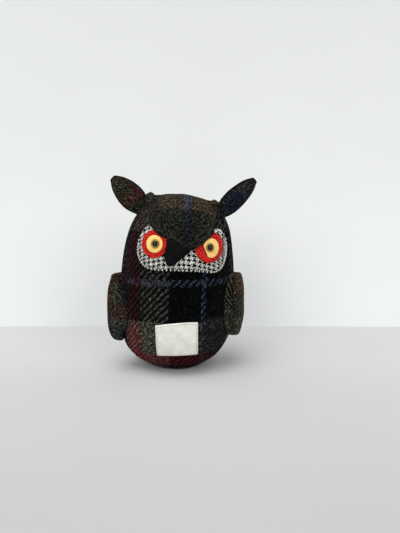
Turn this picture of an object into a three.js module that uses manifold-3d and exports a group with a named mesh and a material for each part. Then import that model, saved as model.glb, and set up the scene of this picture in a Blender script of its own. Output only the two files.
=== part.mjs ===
// A standing plush owl pieced from tweed, felt and wool, weighted at its foot.
// Millimetres, +Z up, the owl faces -Y and stands on the flat of its base panel.
// Left and right are the sides seen by someone who faces the owl.
import * as THREE from 'three';
import { mergeVertices } from 'three/addons/utils/BufferGeometryUtils.js';
import Module from 'manifold-3d';

const wasm = await Module();
wasm.setup();

// Stuffed body, measured over its tweed
const bodyHeight = 155;
const bodyWidth = 106;
const bodyDepth = 96;
const widestHeight = 53;
const standRadius = 20;
const headLean = 4.6;
const crownTaperShare = 0.04;
const crownRoundness = 3.3;
const bellyRoundness = 2.2;
const sideSeamAngle = 65;
const basePanelRadius = 26;

// Cloths, and the room left between touching pieces
const clearance = 0.3;
const tweedThickness = 1.5;
const maskThickness = 1;
const woolThickness = 1;
const feltThickness = 1;
const flapThickness = 2.8;
const labelThickness = 0.6;
const bagThickness = 0.8;
const cutOverrun = 12;

// Weighting bag, a dome with a gathered neck
const pelletBagRadius = 37;
const pelletBagHeight = 34;
const bagNeckRadius = 5;
const bagNeckHeight = 7;

// Face outlines, as shares of the body's width (from its centre line) and height
const maskShares = [
  [-0.224, 0.827], [-0.284, 0.782], [-0.308, 0.726], [-0.298, 0.672], [-0.242, 0.617],
  [-0.150, 0.596], [0, 0.594], [0.165, 0.588], [0.290, 0.578], [0.362, 0.594],
  [0.402, 0.650], [0.408, 0.713], [0.385, 0.777], [0.330, 0.812], [0.240, 0.790],
  [0.120, 0.740], [0, 0.740], [-0.110, 0.790],
];
const browShares = [
  [-0.246, 1.100], [-0.262, 0.962], [-0.245, 0.905], [-0.237, 0.868], [-0.211, 0.832],
  [-0.170, 0.803], [-0.128, 0.780], [-0.075, 0.760], [0.010, 0.712], [0.060, 0.694],
  [0.115, 0.700], [0.160, 0.712], [0.210, 0.742], [0.262, 0.772], [0.290, 0.800],
  [0.302, 0.835], [0.308, 0.868], [0.315, 0.905], [0.304, 0.950], [0.298, 1.100],
];
const beakShares = [
  [-0.070, 0.762], [-0.005, 0.755], [0.058, 0.735], [0.122, 0.712], [0.088, 0.680],
  [0.050, 0.657], [0.010, 0.636], [-0.035, 0.618], [-0.066, 0.628], [-0.084, 0.656],
  [-0.088, 0.692], [-0.078, 0.730],
];
const labelShares = [[-0.144, 0.297], [0.188, 0.308], [0.190, 0.118], [-0.142, 0.120]];
const browBackReach = 7;
const beakSeatShares = [0, 0.69];
const beakEdgeRise = 4.2;
const beakCrownRise = 8;

// Eyes: a wool patch, a felt disc, and a moulded eye held by a washer inside the body
const woolPatchWidth = 24;
const woolPatchHeight = 26;
const leftDiscWidth = 15;
const rightDiscWidth = 16.5;
const lensRadius = 3.9;
const lensHeight = 2.9;
const lensRim = 0.5;
const pupilRadius = 2.3;
const pupilHeight = 1.5;
const stemRadius = 1.4;
const stemLength = 14;
const washerRadius = 5.5;
const washerThickness = 1.2;
const eyes = [
  {
    side: 'left', discWidth: leftDiscWidth, woolShares: [-0.174, 0.740],
    feltShares: [-0.163, 0.744], eyeShares: [-0.155, 0.735],
  },
  {
    side: 'right', discWidth: rightDiscWidth, woolShares: [0.278, 0.714],
    feltShares: [0.276, 0.713], eyeShares: [0.240, 0.717],
  },
];

// Rolled corners of the brow flap, beside the ears
const tuckRadius = 2.6;
const tuckLength = 5;
const tuckAcrossShares = [-0.232, 0.282];

// Wings, stuffed pads sewn on by their flat tops
const leftWingLength = 61.5;
const rightWingLength = 57;
const rightWingStandOff = 0.4;
const wingWidth = 41;
const wingOuterThickness = 8;
const wingInnerThickness = 16;
const wingTopHeight = 87;
const wingWidthRun = { rootShare: 0.56, fullestShare: 0.52, tipRoundness: 2.3 };
const wingThicknessRun = { rootShare: 0.7, fullestShare: 0.35, tipRoundness: 3.2 };
const wingSectionFullness = 2.6;
const wings = [
  { side: 'left', length: leftWingLength, seatAngle: -71, facingAngle: -104, standOff: 0 },
  { side: 'right', length: rightWingLength, seatAngle: 75, facingAngle: 75, standOff: rightWingStandOff },
];

// Ears, flat leaves of doubled tweed sewn to the shoulders of the crown
const leftEarLength = 38.3;
const rightEarLength = 42;
const earWidth = 24.4;
const earThickness = 4.6;
const earBuriedLength = 4;
const earWidthRun = { rootShare: 0.52, fullestShare: 0.44, tipRoundness: 1.78 };
const earThicknessRun = { rootShare: 0.9, fullestShare: 0.3, tipRoundness: 4 };
const earSectionFullness = 3;
const earFlexAngle = 30;
const earFlexSteps = 6;
const ears = [
  {
    side: 'left', length: leftEarLength, acrossShare: -0.327,
    riseAngle: 45.5, spreadSign: -1, twistAngle: 0,
  },
  {
    side: 'right', length: rightEarLength, acrossShare: 0.356,
    riseAngle: 43.5, spreadSign: 1, twistAngle: 42,
  },
];

// Facets, and the steps of a search
const bodySides = 36;
const bellyRows = 6;
const crownRows = 12;
const fillingCoarseness = 2;
const padSides = 18;
const padRows = 9;
const discSides = 20;
const domeRows = 3;
const eyeSides = 14;
const lensRows = 5;
const tuckSides = 12;
const tuckCapRows = 4;
const goreCorners = 4;
const outlineSteps = 40;
const searchHalvings = 40;
const slopeStepShare = 0.001;
const weldDistance = 1e-4;

const depthShare = bodyDepth / bodyWidth;
const halfWidth = bodyWidth / 2;
const crownHeight = bodyHeight - widestHeight;
const quarterTurn = Math.PI / 2;
const upright = new THREE.Vector3(0, 0, 1);
const radians = THREE.MathUtils.degToRad;

// How far each layer of the face starts and ends above the body's tweed
const maskTop = clearance + maskThickness;
const woolSeat = maskTop + clearance;
const woolTop = woolSeat + woolThickness;
const feltSeat = woolTop + clearance;
const feltTop = feltSeat + feltThickness;
const lensSeat = feltTop + clearance;
const flapTop = clearance + flapThickness;
const washerSeat = -tweedThickness - clearance * 2;

const colours = {
  darkTweed: '#26221f', oliveTweed: '#37352a', browTweed: '#3b3a33', calico: '#cfc7b4',
  polyester: '#e6e4de', pellets: '#b9c0c4', check: '#b9bdb8', wool: '#c8281f', felt: '#e9b949',
  eye: '#2b2616', black: '#0b0b0c', label: '#e8e6e0', washer: '#d8d8d4',
};

function clothMaterial(colour) {
  return new THREE.MeshStandardMaterial({ color: colour, roughness: 0.95, metalness: 0 });
}

function plasticMaterial(colour) {
  return new THREE.MeshStandardMaterial({ color: colour, roughness: 0.15, metalness: 0 });
}

function solidFrom(geometry) {
  const bare = geometry.clone();
  bare.deleteAttribute('normal');
  bare.deleteAttribute('uv');
  const merged = mergeVertices(bare, weldDistance);
  const corners = merged.index.array;
  const triangles = [];
  for (let first = 0; first < corners.length; first += 3) {
    const [a, b, c] = corners.slice(first, first + 3);
    if (a !== b && b !== c && c !== a) triangles.push(a, b, c);
  }
  return new wasm.Manifold(new wasm.Mesh({
    numProp: 3,
    vertProperties: new Float32Array(merged.attributes.position.array),
    triVerts: new Uint32Array(triangles),
  }));
}

function geometryFrom(solid) {
  const mesh = solid.getMesh();
  const geometry = new THREE.BufferGeometry();
  geometry.setAttribute('position', new THREE.BufferAttribute(mesh.vertProperties, 3));
  geometry.setIndex(new THREE.BufferAttribute(mesh.triVerts, 1));
  geometry.computeVertexNormals();
  return geometry;
}

function leanAt(height) {
  return headLean * (height / bodyHeight) ** 2;
}

// Half outline of the body: radius, height and outward direction at a turn from -1 (foot) to 1 (top)
function bodyOutlineAt(turn) {
  const crown = turn >= 0;
  const power = crown ? crownRoundness : bellyRoundness;
  const footShare = (1 - (standRadius / halfWidth) ** power) ** (1 / power);
  const footAngle = Math.asin(Math.min(1, footShare ** (power / 2)));
  const angle = crown ? turn * quarterTurn : -turn * footAngle;
  const reach = Math.sin(angle) ** (2 / power);
  const girth = Math.max(0, Math.cos(angle)) ** (2 / power);
  const run = crown ? crownHeight : widestHeight / footShare;
  const slope = new THREE.Vector2(girth ** (power - 1) / halfWidth, reach ** (power - 1) / run);
  slope.normalize();
  if (!crown) slope.y *= -1;
  const taper = crown ? 1 - crownTaperShare * reach : 1;
  const height = crown ? widestHeight + run * reach : widestHeight - run * reach;
  return { radius: halfWidth * girth * taper, height, slope };
}

function bodyProfile(outset, coarseness) {
  const profile = [];
  for (let row = -bellyRows; row <= crownRows; row += coarseness) {
    const turn = row < 0 ? row / bellyRows : row / crownRows;
    const { radius, height, slope } = bodyOutlineAt(turn);
    const onAxis = row === crownRows;
    const out = onAxis ? 0 : radius + slope.x * outset;
    const up = onAxis ? bodyHeight + outset : height + slope.y * outset;
    profile.push(new THREE.Vector2(out, up));
  }
  profile.unshift(new THREE.Vector2(0, profile[0].y));
  return profile;
}

const bodyForms = new Map();

// The body's form, grown outwards by outset all over
function bodyForm(outset, coarseness = 1) {
  const key = `${outset}/${coarseness}`;
  if (!bodyForms.has(key)) {
    const form = new THREE.LatheGeometry(bodyProfile(outset, coarseness), bodySides / coarseness);
    form.rotateX(quarterTurn);
    form.scale(1, (bodyDepth / 2 + outset) / (halfWidth + outset), 1);
    const places = form.attributes.position;
    for (let i = 0; i < places.count; i += 1) {
      places.setX(i, places.getX(i) + leanAt(places.getZ(i)));
    }
    bodyForms.set(key, solidFrom(form));
  }
  return bodyForms.get(key);
}

function bodyRadiusAt(height) {
  if (height < widestHeight) {
    const footShare = (1 - (standRadius / halfWidth) ** bellyRoundness) ** (1 / bellyRoundness);
    const reach = (1 - height / widestHeight) * footShare;
    return halfWidth * (1 - reach ** bellyRoundness) ** (1 / bellyRoundness);
  }
  const reach = (height - widestHeight) / crownHeight;
  const girth = Math.max(0, 1 - reach ** crownRoundness) ** (1 / crownRoundness);
  return halfWidth * girth * (1 - crownTaperShare * reach);
}

// Point on the body and its outward direction, for a turn from the front and a height
function bodySurface(angle, height) {
  const step = bodyHeight * slopeStepShare;
  const radius = bodyRadiusAt(height);
  const rise = (bodyRadiusAt(height + step) - bodyRadiusAt(height - step)) / (2 * step);
  const lean = (leanAt(height + step) - leanAt(height - step)) / (2 * step);
  const point = new THREE.Vector3(
    leanAt(height) + radius * Math.sin(angle),
    -radius * depthShare * Math.cos(angle),
    height,
  );
  const normal = new THREE.Vector3(
    Math.sin(angle),
    -Math.cos(angle) / depthShare,
    -rise - lean * Math.sin(angle),
  ).normalize();
  return { point, normal };
}

// The same, for a place on the front given in shares of the body's width and height
function faceSurface([acrossShare, upShare]) {
  const height = upShare * bodyHeight;
  const across = acrossShare * bodyWidth;
  return bodySurface(Math.asin(across / bodyRadiusAt(height)), height);
}

// Height of the crown's outline at a distance to either side of its leaning centre line
function crownHeightAt(across) {
  let [low, high] = [widestHeight, bodyHeight];
  for (let halving = 0; halving < searchHalvings; halving += 1) {
    const middle = (low + high) / 2;
    if (bodyRadiusAt(middle) > Math.abs(across)) low = middle;
    else high = middle;
  }
  return low;
}

function facePoint([acrossShare, upShare]) {
  const height = upShare * bodyHeight;
  return new THREE.Vector2(leanAt(height) + acrossShare * bodyWidth, height);
}

function smoothOutline(shares) {
  const points = shares.map(facePoint).map(({ x, y }) => new THREE.Vector3(x, y, 0));
  const curve = new THREE.CatmullRomCurve3(points, true, 'centripetal');
  return curve.getSpacedPoints(outlineSteps).slice(0, -1).map(({ x, y }) => new THREE.Vector2(x, y));
}

function ovalOutline(shares, width, tall) {
  const { point, normal } = faceSurface(shares);
  const outline = [];
  for (let step = 0; step < discSides; step += 1) {
    const angle = (step / discSides) * 2 * Math.PI;
    const across = (width / 2) * Math.cos(angle) * Math.hypot(normal.y, normal.z);
    const up = (tall / 2) * Math.sin(angle) * Math.hypot(normal.x, normal.y);
    outline.push(new THREE.Vector2(point.x + across, point.z + up));
  }
  return outline;
}

// The outline grown all round by an amount
function grownOutline(outline, amount) {
  const turnWay = THREE.ShapeUtils.isClockWise(outline) ? -1 : 1;
  return outline.map((point, i) => {
    const before = outline[(i + outline.length - 1) % outline.length];
    const after = outline[(i + 1) % outline.length];
    const along = after.clone().sub(before).normalize();
    return new THREE.Vector2(point.x + along.y * amount * turnWay, point.y - along.x * amount * turnWay);
  });
}

// Upright cutter whose front view is the outline, from in front of the owl to backReach behind its axis
function facePrism(outline, backReach = 0) {
  const prism = new THREE.ExtrudeGeometry(new THREE.Shape(outline), {
    depth: bodyDepth + backReach,
    bevelEnabled: false,
  });
  prism.rotateX(quarterTurn);
  prism.translate(0, backReach, 0);
  return solidFrom(prism);
}

// A cloth piece lying on the body, from seat to top above the tweed
function laidOn(outline, seat, top, backReach = 0) {
  const layer = bodyForm(top).subtract(bodyForm(seat));
  return layer.intersect(facePrism(outline, backReach));
}

// The room that a laid piece takes up, with the clearance round it
function roomOf(outline, top, backReach = 0) {
  const prism = facePrism(grownOutline(outline, clearance), backReach);
  return bodyForm(top + clearance).intersect(prism);
}

const maskOutline = smoothOutline(maskShares);
const browOutline = smoothOutline(browShares);
const beakOutline = smoothOutline(beakShares);

// One sector of the body between two seams, short of each seam by half the clearance
function goreSector(fromAngle, toAngle) {
  const middle = (fromAngle + toAngle) / 2;
  const half = (toAngle - fromAngle) / 2;
  const inwards = clearance / 2 / Math.sin(half);
  const apex = new THREE.Vector2(headLean + inwards * Math.sin(middle), -inwards * Math.cos(middle));
  const corners = [apex];
  for (let corner = 0; corner <= goreCorners; corner += 1) {
    const angle = fromAngle + (toAngle - fromAngle) * (corner / goreCorners);
    corners.push(new THREE.Vector2(
      apex.x + bodyWidth * Math.sin(angle),
      apex.y - bodyWidth * Math.cos(angle),
    ));
  }
  const sector = new THREE.ExtrudeGeometry(new THREE.Shape(corners), {
    depth: bodyHeight + 2 * cutOverrun,
    bevelEnabled: false,
  });
  sector.translate(0, 0, -cutOverrun);
  return solidFrom(sector);
}

function baseDisc(radius) {
  const disc = new THREE.CylinderGeometry(radius, radius, widestHeight, bodySides);
  disc.rotateX(quarterTurn);
  disc.scale(1, depthShare, 1);
  return solidFrom(disc);
}

function makeBodyPanels(eyeBores) {
  const skin = bodyForm(0).subtract(bodyForm(-tweedThickness));
  const sides = skin.subtract(baseDisc(basePanelRadius + clearance));
  const seam = radians(sideSeamAngle);
  return {
    front_panel: sides.intersect(goreSector(-seam, seam)).subtract(eyeBores),
    right_back_panel: sides.intersect(goreSector(seam, Math.PI)),
    left_back_panel: sides.intersect(goreSector(-Math.PI, -seam)),
    base_panel: skin.intersect(baseDisc(basePanelRadius)),
  };
}

// The hollow inside the tweed, drawn in by inset
function fillingForm(inset) {
  return bodyForm(-tweedThickness - clearance - inset, fillingCoarseness);
}

// The weighting bag's form, drawn in by inset, its neck ending neckOverrun above the real one
function bagForm(inset, neckOverrun) {
  const radius = pelletBagRadius - inset;
  const neck = bagNeckRadius - inset;
  const lastAngle = Math.acos(neck / radius);
  const profile = [new THREE.Vector2(0, 0)];
  for (let row = 0; row <= padRows; row += 1) {
    const angle = (row / padRows) * lastAngle;
    profile.push(new THREE.Vector2(radius * Math.cos(angle), (pelletBagHeight - inset) * Math.sin(angle)));
  }
  const neckTop = pelletBagHeight + bagNeckHeight + neckOverrun;
  profile.push(new THREE.Vector2(neck, neckTop), new THREE.Vector2(0, neckTop));
  const bag = new THREE.LatheGeometry(profile, discSides);
  bag.rotateX(quarterTurn);
  bag.scale(1, depthShare, 1);
  return solidFrom(bag).intersect(fillingForm(inset));
}

function makeFilling(eyeRoom) {
  const bagInside = bagForm(bagThickness, cutOverrun);
  const pelletInset = bagThickness + clearance;
  const neckPlug = -bagNeckHeight - pelletInset;
  return {
    pellet_bag: bagForm(0, 0).subtract(bagInside),
    pellet_fill: bagForm(pelletInset, neckPlug),
    body_stuffing: fillingForm(0)
      .subtract(bagForm(-clearance, clearance))
      .subtract(eyeRoom),
  };
}

// The brow flap, with a corner rolled up at each side
function makeFlap() {
  const flap = laidOn(browOutline, clearance, flapTop, browBackReach);
  const tucks = tuckAcrossShares.map((share) => {
    const across = share * bodyWidth;
    const height = crownHeightAt(across) + flapTop;
    const tuck = new THREE.CapsuleGeometry(tuckRadius, tuckLength, tuckCapRows, tuckSides);
    tuck.translate(leanAt(height) + across, 0, height);
    return solidFrom(tuck);
  });
  return tucks
    .reduce((whole, tuck) => whole.add(tuck), flap)
    .subtract(roomOf(maskOutline, maskTop));
}

// A pad with the outline's front view, its front domed over between edgeDepth and crownDepth
function domedPad(outline, edgeDepth, crownDepth) {
  const middle = outline.reduce((sum, point) => sum.add(point), new THREE.Vector2());
  middle.divideScalar(outline.length);
  const rings = [{ share: 1, depth: 0 }];
  for (let row = 0; row < domeRows; row += 1) {
    const angle = (row / domeRows) * quarterTurn;
    rings.push({
      share: Math.cos(angle),
      depth: edgeDepth + (crownDepth - edgeDepth) * Math.sin(angle),
    });
  }
  const corners = rings.flatMap(({ share, depth }) => outline.flatMap((point) => {
    const place = middle.clone().lerp(point, share);
    return [place.x, -depth, place.y];
  }));
  const count = outline.length;
  const back = corners.length / 3;
  const front = back + 1;
  corners.push(middle.x, 0, middle.y, middle.x, -crownDepth, middle.y);
  const triangles = [];
  for (let i = 0; i < count; i += 1) {
    const next = (i + 1) % count;
    triangles.push(back, next, i);
    for (let row = 0; row < rings.length - 1; row += 1) {
      const [low, high] = [row * count, (row + 1) * count];
      triangles.push(low + i, low + next, high + next, low + i, high + next, high + i);
    }
    const last = (rings.length - 1) * count;
    triangles.push(last + i, last + next, front);
  }
  const pad = new THREE.BufferGeometry();
  pad.setAttribute('position', new THREE.Float32BufferAttribute(corners, 3));
  pad.setIndex(triangles);
  return pad;
}

function makeBeak(woolRooms) {
  const outline = THREE.ShapeUtils.isClockWise(beakOutline) ? beakOutline.toReversed() : beakOutline;
  const { point } = faceSurface(beakSeatShares);
  const beak = solidFrom(domedPad(outline, beakEdgeRise - point.y, beakCrownRise - point.y));
  const room = roomOf(browOutline, flapTop).add(bodyForm(maskTop + clearance));
  return woolRooms.reduce((solid, wool) => solid.subtract(wool), beak.subtract(room));
}

function turned(profilePoints, sides) {
  const profile = profilePoints.map(([radius, height]) => new THREE.Vector2(radius, height));
  const geometry = new THREE.LatheGeometry(profile, sides);
  geometry.rotateX(quarterTurn);
  return geometry;
}

function domePoints(radius, height, seat) {
  const points = [];
  for (let row = 0; row < lensRows; row += 1) {
    const angle = (row / lensRows) * quarterTurn;
    points.push([radius * Math.cos(angle), seat + height * Math.sin(angle)]);
  }
  points.push([0, seat + height]);
  return points;
}

// Moulded eye pieces on their own axis, with the body's tweed at height zero
function makeEyeShapes() {
  const pocketRadius = pupilRadius + clearance;
  const pocketTop = lensSeat + pupilHeight + clearance;
  const lens = turned([
    [0, pocketTop], [pocketRadius, pocketTop], [pocketRadius, lensSeat], [lensRadius, lensSeat],
    ...domePoints(lensRadius, lensHeight - lensRim, lensSeat + lensRim),
  ], eyeSides);
  const stemEnd = lensSeat - stemLength;
  const pupil = turned([
    [0, stemEnd], [stemRadius, stemEnd], [stemRadius, lensSeat], [pupilRadius, lensSeat],
    [pupilRadius, lensSeat + pupilHeight], [0, lensSeat + pupilHeight],
  ], eyeSides);
  const hole = stemRadius + clearance;
  const washerBack = washerSeat - washerThickness;
  const washer = turned([
    [hole, washerBack], [washerRadius, washerBack], [washerRadius, washerSeat],
    [hole, washerSeat], [hole, washerBack],
  ], eyeSides);
  return { lens, pupil, washer };
}

function eyePose(eye) {
  const { point, normal } = faceSurface(eye.eyeShares);
  return { point, turn: new THREE.Quaternion().setFromUnitVectors(upright, normal) };
}

function atPose(geometry, { point, turn }) {
  const placed = geometry.clone();
  placed.applyQuaternion(turn);
  placed.translate(point.x, point.y, point.z);
  return placed;
}

// The hole that an eye's stem needs through the cloths
function stemBore(pose) {
  const radius = stemRadius + clearance;
  const bore = turned([
    [0, -cutOverrun], [radius, -cutOverrun], [radius, cutOverrun], [0, cutOverrun],
  ], eyeSides);
  return solidFrom(atPose(bore, pose));
}

// The room that an eye's stem and washer need in the stuffing
function stemRoom(pose) {
  const hole = stemRadius + clearance;
  const back = lensSeat - stemLength - clearance;
  const washerBack = washerSeat - washerThickness - clearance;
  const wide = washerRadius + clearance;
  const room = turned([
    [0, back], [hole, back], [hole, washerBack], [wide, washerBack], [wide, 0], [0, 0],
  ], eyeSides);
  return solidFrom(atPose(room, pose));
}

// Share of full width at a place along a leaf, from its root (0) to its tip (1)
function leafShare(along, { rootShare, fullestShare, tipRoundness }) {
  if (along < fullestShare) {
    return rootShare + (1 - rootShare) * Math.sin((along / fullestShare) * quarterTurn);
  }
  const run = (along - fullestShare) / (1 - fullestShare);
  return (1 - run ** tipRoundness) ** (1 / tipRoundness);
}

// A leaf-shaped pad: width along X, outer side up Y, root at zero and tip up Z, drawn in by inset
function leafPad(leaf, inset) {
  const profile = [new THREE.Vector2(0, 0)];
  for (let row = 0; row < padRows; row += 1) {
    profile.push(new THREE.Vector2(1, Math.sin((row / padRows) * quarterTurn)));
  }
  profile.push(new THREE.Vector2(0, 1));
  const pad = new THREE.LatheGeometry(profile, padSides);
  pad.rotateX(quarterTurn);
  const places = pad.attributes.position;
  for (let i = 0; i < places.count; i += 1) {
    const [x, y, along] = [places.getX(i), places.getY(i), places.getZ(i)];
    const girth = Math.hypot(x, y);
    const fullness = (part) => Math.sign(part) * Math.abs(part) ** (2 / leaf.sectionFullness);
    const halfWide = leafShare(along, leaf.widthRun) * (leaf.width / 2 - inset);
    const sideThickness = y < 0 ? leaf.innerThickness : leaf.outerThickness;
    const halfThick = leafShare(along, leaf.thicknessRun) * (sideThickness - inset);
    places.setXYZ(
      i,
      girth > 0 ? fullness(x) * halfWide : 0,
      girth > 0 ? fullness(y) * halfThick : 0,
      inset + along * (leaf.length - 2 * inset),
    );
  }
  return pad;
}

// Half of the space round a leaf, on one side of its edge seam
function leafSide(leaf, side) {
  const reach = leaf.length + 2 * cutOverrun;
  const depth = leaf.innerThickness + leaf.outerThickness;
  const half = new THREE.BoxGeometry(reach, depth, reach);
  half.translate(0, side * (depth + clearance) / 2, leaf.length / 2);
  return half;
}

function placedSolid(geometry, matrix) {
  return solidFrom(geometry.clone().applyMatrix4(matrix));
}

// The wing's own axes: X along the body's side, Y outwards, Z down towards its tip
function wingPlacement(wing) {
  const facing = radians(wing.facingAngle);
  const along = new THREE.Vector3(Math.cos(facing), Math.sin(facing), 0);
  const outward = new THREE.Vector3(Math.sin(facing), -Math.cos(facing), 0);
  const down = upright.clone().negate();
  const { point } = bodySurface(radians(wing.seatAngle), wingTopHeight);
  const seamRise = tweedThickness + clearance * 2 + wing.standOff;
  const place = point.clone().addScaledVector(outward, seamRise);
  return new THREE.Matrix4().makeBasis(along, outward, down).setPosition(place);
}

function makeWing(wing) {
  const leaf = {
    length: wing.length,
    width: wingWidth,
    outerThickness: wingOuterThickness,
    innerThickness: wingInnerThickness,
    widthRun: wingWidthRun,
    thicknessRun: wingThicknessRun,
    sectionFullness: wingSectionFullness,
  };
  const matrix = wingPlacement(wing);
  const layer = (inset) => placedSolid(leafPad(leaf, inset), matrix).subtract(bodyForm(clearance + inset));
  const cloth = layer(0).subtract(layer(tweedThickness));
  return {
    [`${wing.side}_wing_outer`]: cloth.intersect(placedSolid(leafSide(leaf, 1), matrix)),
    [`${wing.side}_wing_inner`]: cloth.intersect(placedSolid(leafSide(leaf, -1), matrix)),
    [`${wing.side}_wing_wadding`]: layer(tweedThickness + clearance),
  };
}

// The ear's own axes: X across its root, Y towards its face, Z towards its tip
function earPlacement(ear) {
  const across = ear.acrossShare * bodyWidth;
  const height = crownHeightAt(across);
  const root = new THREE.Vector3(leanAt(height) + across, 0, height);
  const rise = radians(ear.riseAngle);
  const tipward = new THREE.Vector3(ear.spreadSign * Math.cos(rise), 0, Math.sin(rise));
  const face = new THREE.Vector3(0, -1, 0).applyAxisAngle(tipward, radians(ear.twistAngle));
  const sideways = new THREE.Vector3().crossVectors(face, tipward);
  const buried = root.clone().addScaledVector(tipward, -earBuriedLength);
  const hinge = root.clone().addScaledVector(tipward, earThickness / 2 + clearance);
  const matrix = new THREE.Matrix4().makeBasis(sideways, face, tipward).setPosition(buried);
  return { matrix, hinge, sideways };
}

// The ground that the body covers as the ear flexes to and fro over it
function earSweep({ hinge, sideways }) {
  const body = geometryFrom(bodyForm(clearance));
  let swept = bodyForm(clearance);
  for (let step = -earFlexSteps / 2; step <= earFlexSteps / 2; step += 1) {
    const angle = radians(earFlexAngle) * (2 * step / earFlexSteps);
    const turn = new THREE.Quaternion().setFromAxisAngle(sideways, angle);
    const moved = body.clone();
    moved.translate(-hinge.x, -hinge.y, -hinge.z);
    moved.applyQuaternion(turn);
    moved.translate(hinge.x, hinge.y, hinge.z);
    swept = swept.add(solidFrom(moved));
  }
  return swept;
}

function makeEar(ear) {
  const leaf = {
    length: ear.length + earBuriedLength,
    width: earWidth,
    outerThickness: earThickness / 2,
    innerThickness: earThickness / 2,
    widthRun: earWidthRun,
    thicknessRun: earThicknessRun,
    sectionFullness: earSectionFullness,
  };
  const placement = earPlacement(ear);
  const pad = placedSolid(leafPad(leaf, 0), placement.matrix).subtract(earSweep(placement));
  return {
    [`${ear.side}_ear_front`]: pad.intersect(placedSolid(leafSide(leaf, 1), placement.matrix)),
    [`${ear.side}_ear_back`]: pad.intersect(placedSolid(leafSide(leaf, -1), placement.matrix)),
  };
}

const owl = new THREE.Group();

function addSolids(solids, material) {
  for (const [name, solid] of Object.entries(solids)) {
    const mesh = new THREE.Mesh(geometryFrom(solid), material);
    mesh.name = name;
    owl.add(mesh);
  }
}

function addAtPose(name, geometry, pose, material) {
  const mesh = new THREE.Mesh(geometry, material);
  mesh.name = name;
  mesh.position.copy(pose.point);
  mesh.quaternion.copy(pose.turn);
  owl.add(mesh);
}

const poses = eyes.map(eyePose);
const eyeBores = poses.map(stemBore).reduce((all, bore) => all.add(bore));
const eyeRoom = poses.map(stemRoom).reduce((all, room) => all.add(room));
const woolOutlines = eyes.map((eye) => ovalOutline(eye.woolShares, woolPatchWidth, woolPatchHeight));
const feltOutlines = eyes.map((eye) => ovalOutline(eye.feltShares, eye.discWidth, eye.discWidth));
const browRoom = facePrism(grownOutline(browOutline, clearance), browBackReach);

const panels = makeBodyPanels(eyeBores);
addSolids(panels, clothMaterial(colours.darkTweed));
const { pellet_bag, pellet_fill, body_stuffing } = makeFilling(eyeRoom);
addSolids({ body_stuffing }, clothMaterial(colours.polyester));
addSolids({ pellet_bag }, clothMaterial(colours.calico));
addSolids({ pellet_fill }, plasticMaterial(colours.pellets));
const face_mask = laidOn(maskOutline, clearance, maskTop).subtract(eyeBores);
addSolids({ face_mask }, clothMaterial(colours.check));
addSolids({ brow_flap: makeFlap() }, clothMaterial(colours.browTweed));
const woolRooms = woolOutlines.map((outline) => roomOf(outline, woolTop));
addSolids({ beak: makeBeak(woolRooms) }, clothMaterial(colours.black));
const cloth_label = laidOn(labelShares.map(facePoint), clearance, clearance + labelThickness);
addSolids({ cloth_label }, clothMaterial(colours.label));

const eyeShapes = makeEyeShapes();
eyes.forEach(({ side }, i) => {
  const wool = laidOn(woolOutlines[i], woolSeat, woolTop).subtract(browRoom).subtract(eyeBores);
  const felt = laidOn(feltOutlines[i], feltSeat, feltTop).subtract(browRoom).subtract(eyeBores);
  addSolids({ [`${side}_wool_patch`]: wool }, clothMaterial(colours.wool));
  addSolids({ [`${side}_felt_disc`]: felt }, clothMaterial(colours.felt));
  addAtPose(`${side}_eye_lens`, eyeShapes.lens, poses[i], plasticMaterial(colours.eye));
  addAtPose(`${side}_eye_pupil`, eyeShapes.pupil, poses[i], plasticMaterial(colours.black));
  addAtPose(`${side}_eye_washer`, eyeShapes.washer, poses[i], plasticMaterial(colours.washer));
});

wings.forEach((wing) => addSolids(makeWing(wing), clothMaterial(colours.oliveTweed)));
ears.forEach((ear) => addSolids(makeEar(ear), clothMaterial(colours.oliveTweed)));

export default owl;
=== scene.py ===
# Looks of a standing stuffed owl in plaid tweed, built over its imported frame.
# Shapes are worked out in millimetres, and make_mesh turns them into metres.
# The owl faces -Y. Left and right are the sides seen by someone who faces it.
import math
from contextlib import contextmanager

import bpy
import numpy as np
from mathutils import Matrix, Vector, geometry, noise
from mathutils.bvhtree import BVHTree


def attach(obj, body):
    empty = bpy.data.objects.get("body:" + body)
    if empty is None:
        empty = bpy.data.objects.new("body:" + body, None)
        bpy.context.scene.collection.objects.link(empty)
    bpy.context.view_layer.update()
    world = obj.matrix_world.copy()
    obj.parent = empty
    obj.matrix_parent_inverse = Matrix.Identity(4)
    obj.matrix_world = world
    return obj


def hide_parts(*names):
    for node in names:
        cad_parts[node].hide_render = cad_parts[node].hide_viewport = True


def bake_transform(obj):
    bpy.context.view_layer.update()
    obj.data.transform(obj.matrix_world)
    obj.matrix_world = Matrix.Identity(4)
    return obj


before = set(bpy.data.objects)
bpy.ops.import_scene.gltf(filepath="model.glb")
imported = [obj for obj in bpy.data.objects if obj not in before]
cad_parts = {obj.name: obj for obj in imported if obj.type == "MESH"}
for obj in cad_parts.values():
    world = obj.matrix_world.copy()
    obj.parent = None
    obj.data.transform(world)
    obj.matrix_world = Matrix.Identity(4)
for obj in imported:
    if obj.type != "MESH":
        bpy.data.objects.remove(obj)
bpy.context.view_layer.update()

MM = 0.001
FULL_TURN = 2 * math.pi

# Body, measured over its tweed
BODY_HEIGHT = 155
BODY_WIDTH = 106
BODY_DEPTH = 96
WIDEST_HEIGHT = 53
STAND_RADIUS = 20
HEAD_LEAN = 4.6
CROWN_TAPER = 0.04
CROWN_ROUNDNESS = 3.3
BELLY_ROUNDNESS = 2.2
SIDE_SEAM = 65
BASE_RADIUS = 26
TWEED_THICKNESS = 1.4
SEAM_DEPTH = 1.4
SEAM_REACH = 1.6
PUCKER_LENGTH = 5.2
LUMP_LENGTH = 26
LUMP_HEIGHT = 0.5
SHOULDER_SLUMP = 3
LOW_BULGE = 1.8
BODY_ROWS = 42
BODY_PRESSURE, BODY_SWELL = 40, 1.6

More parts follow.
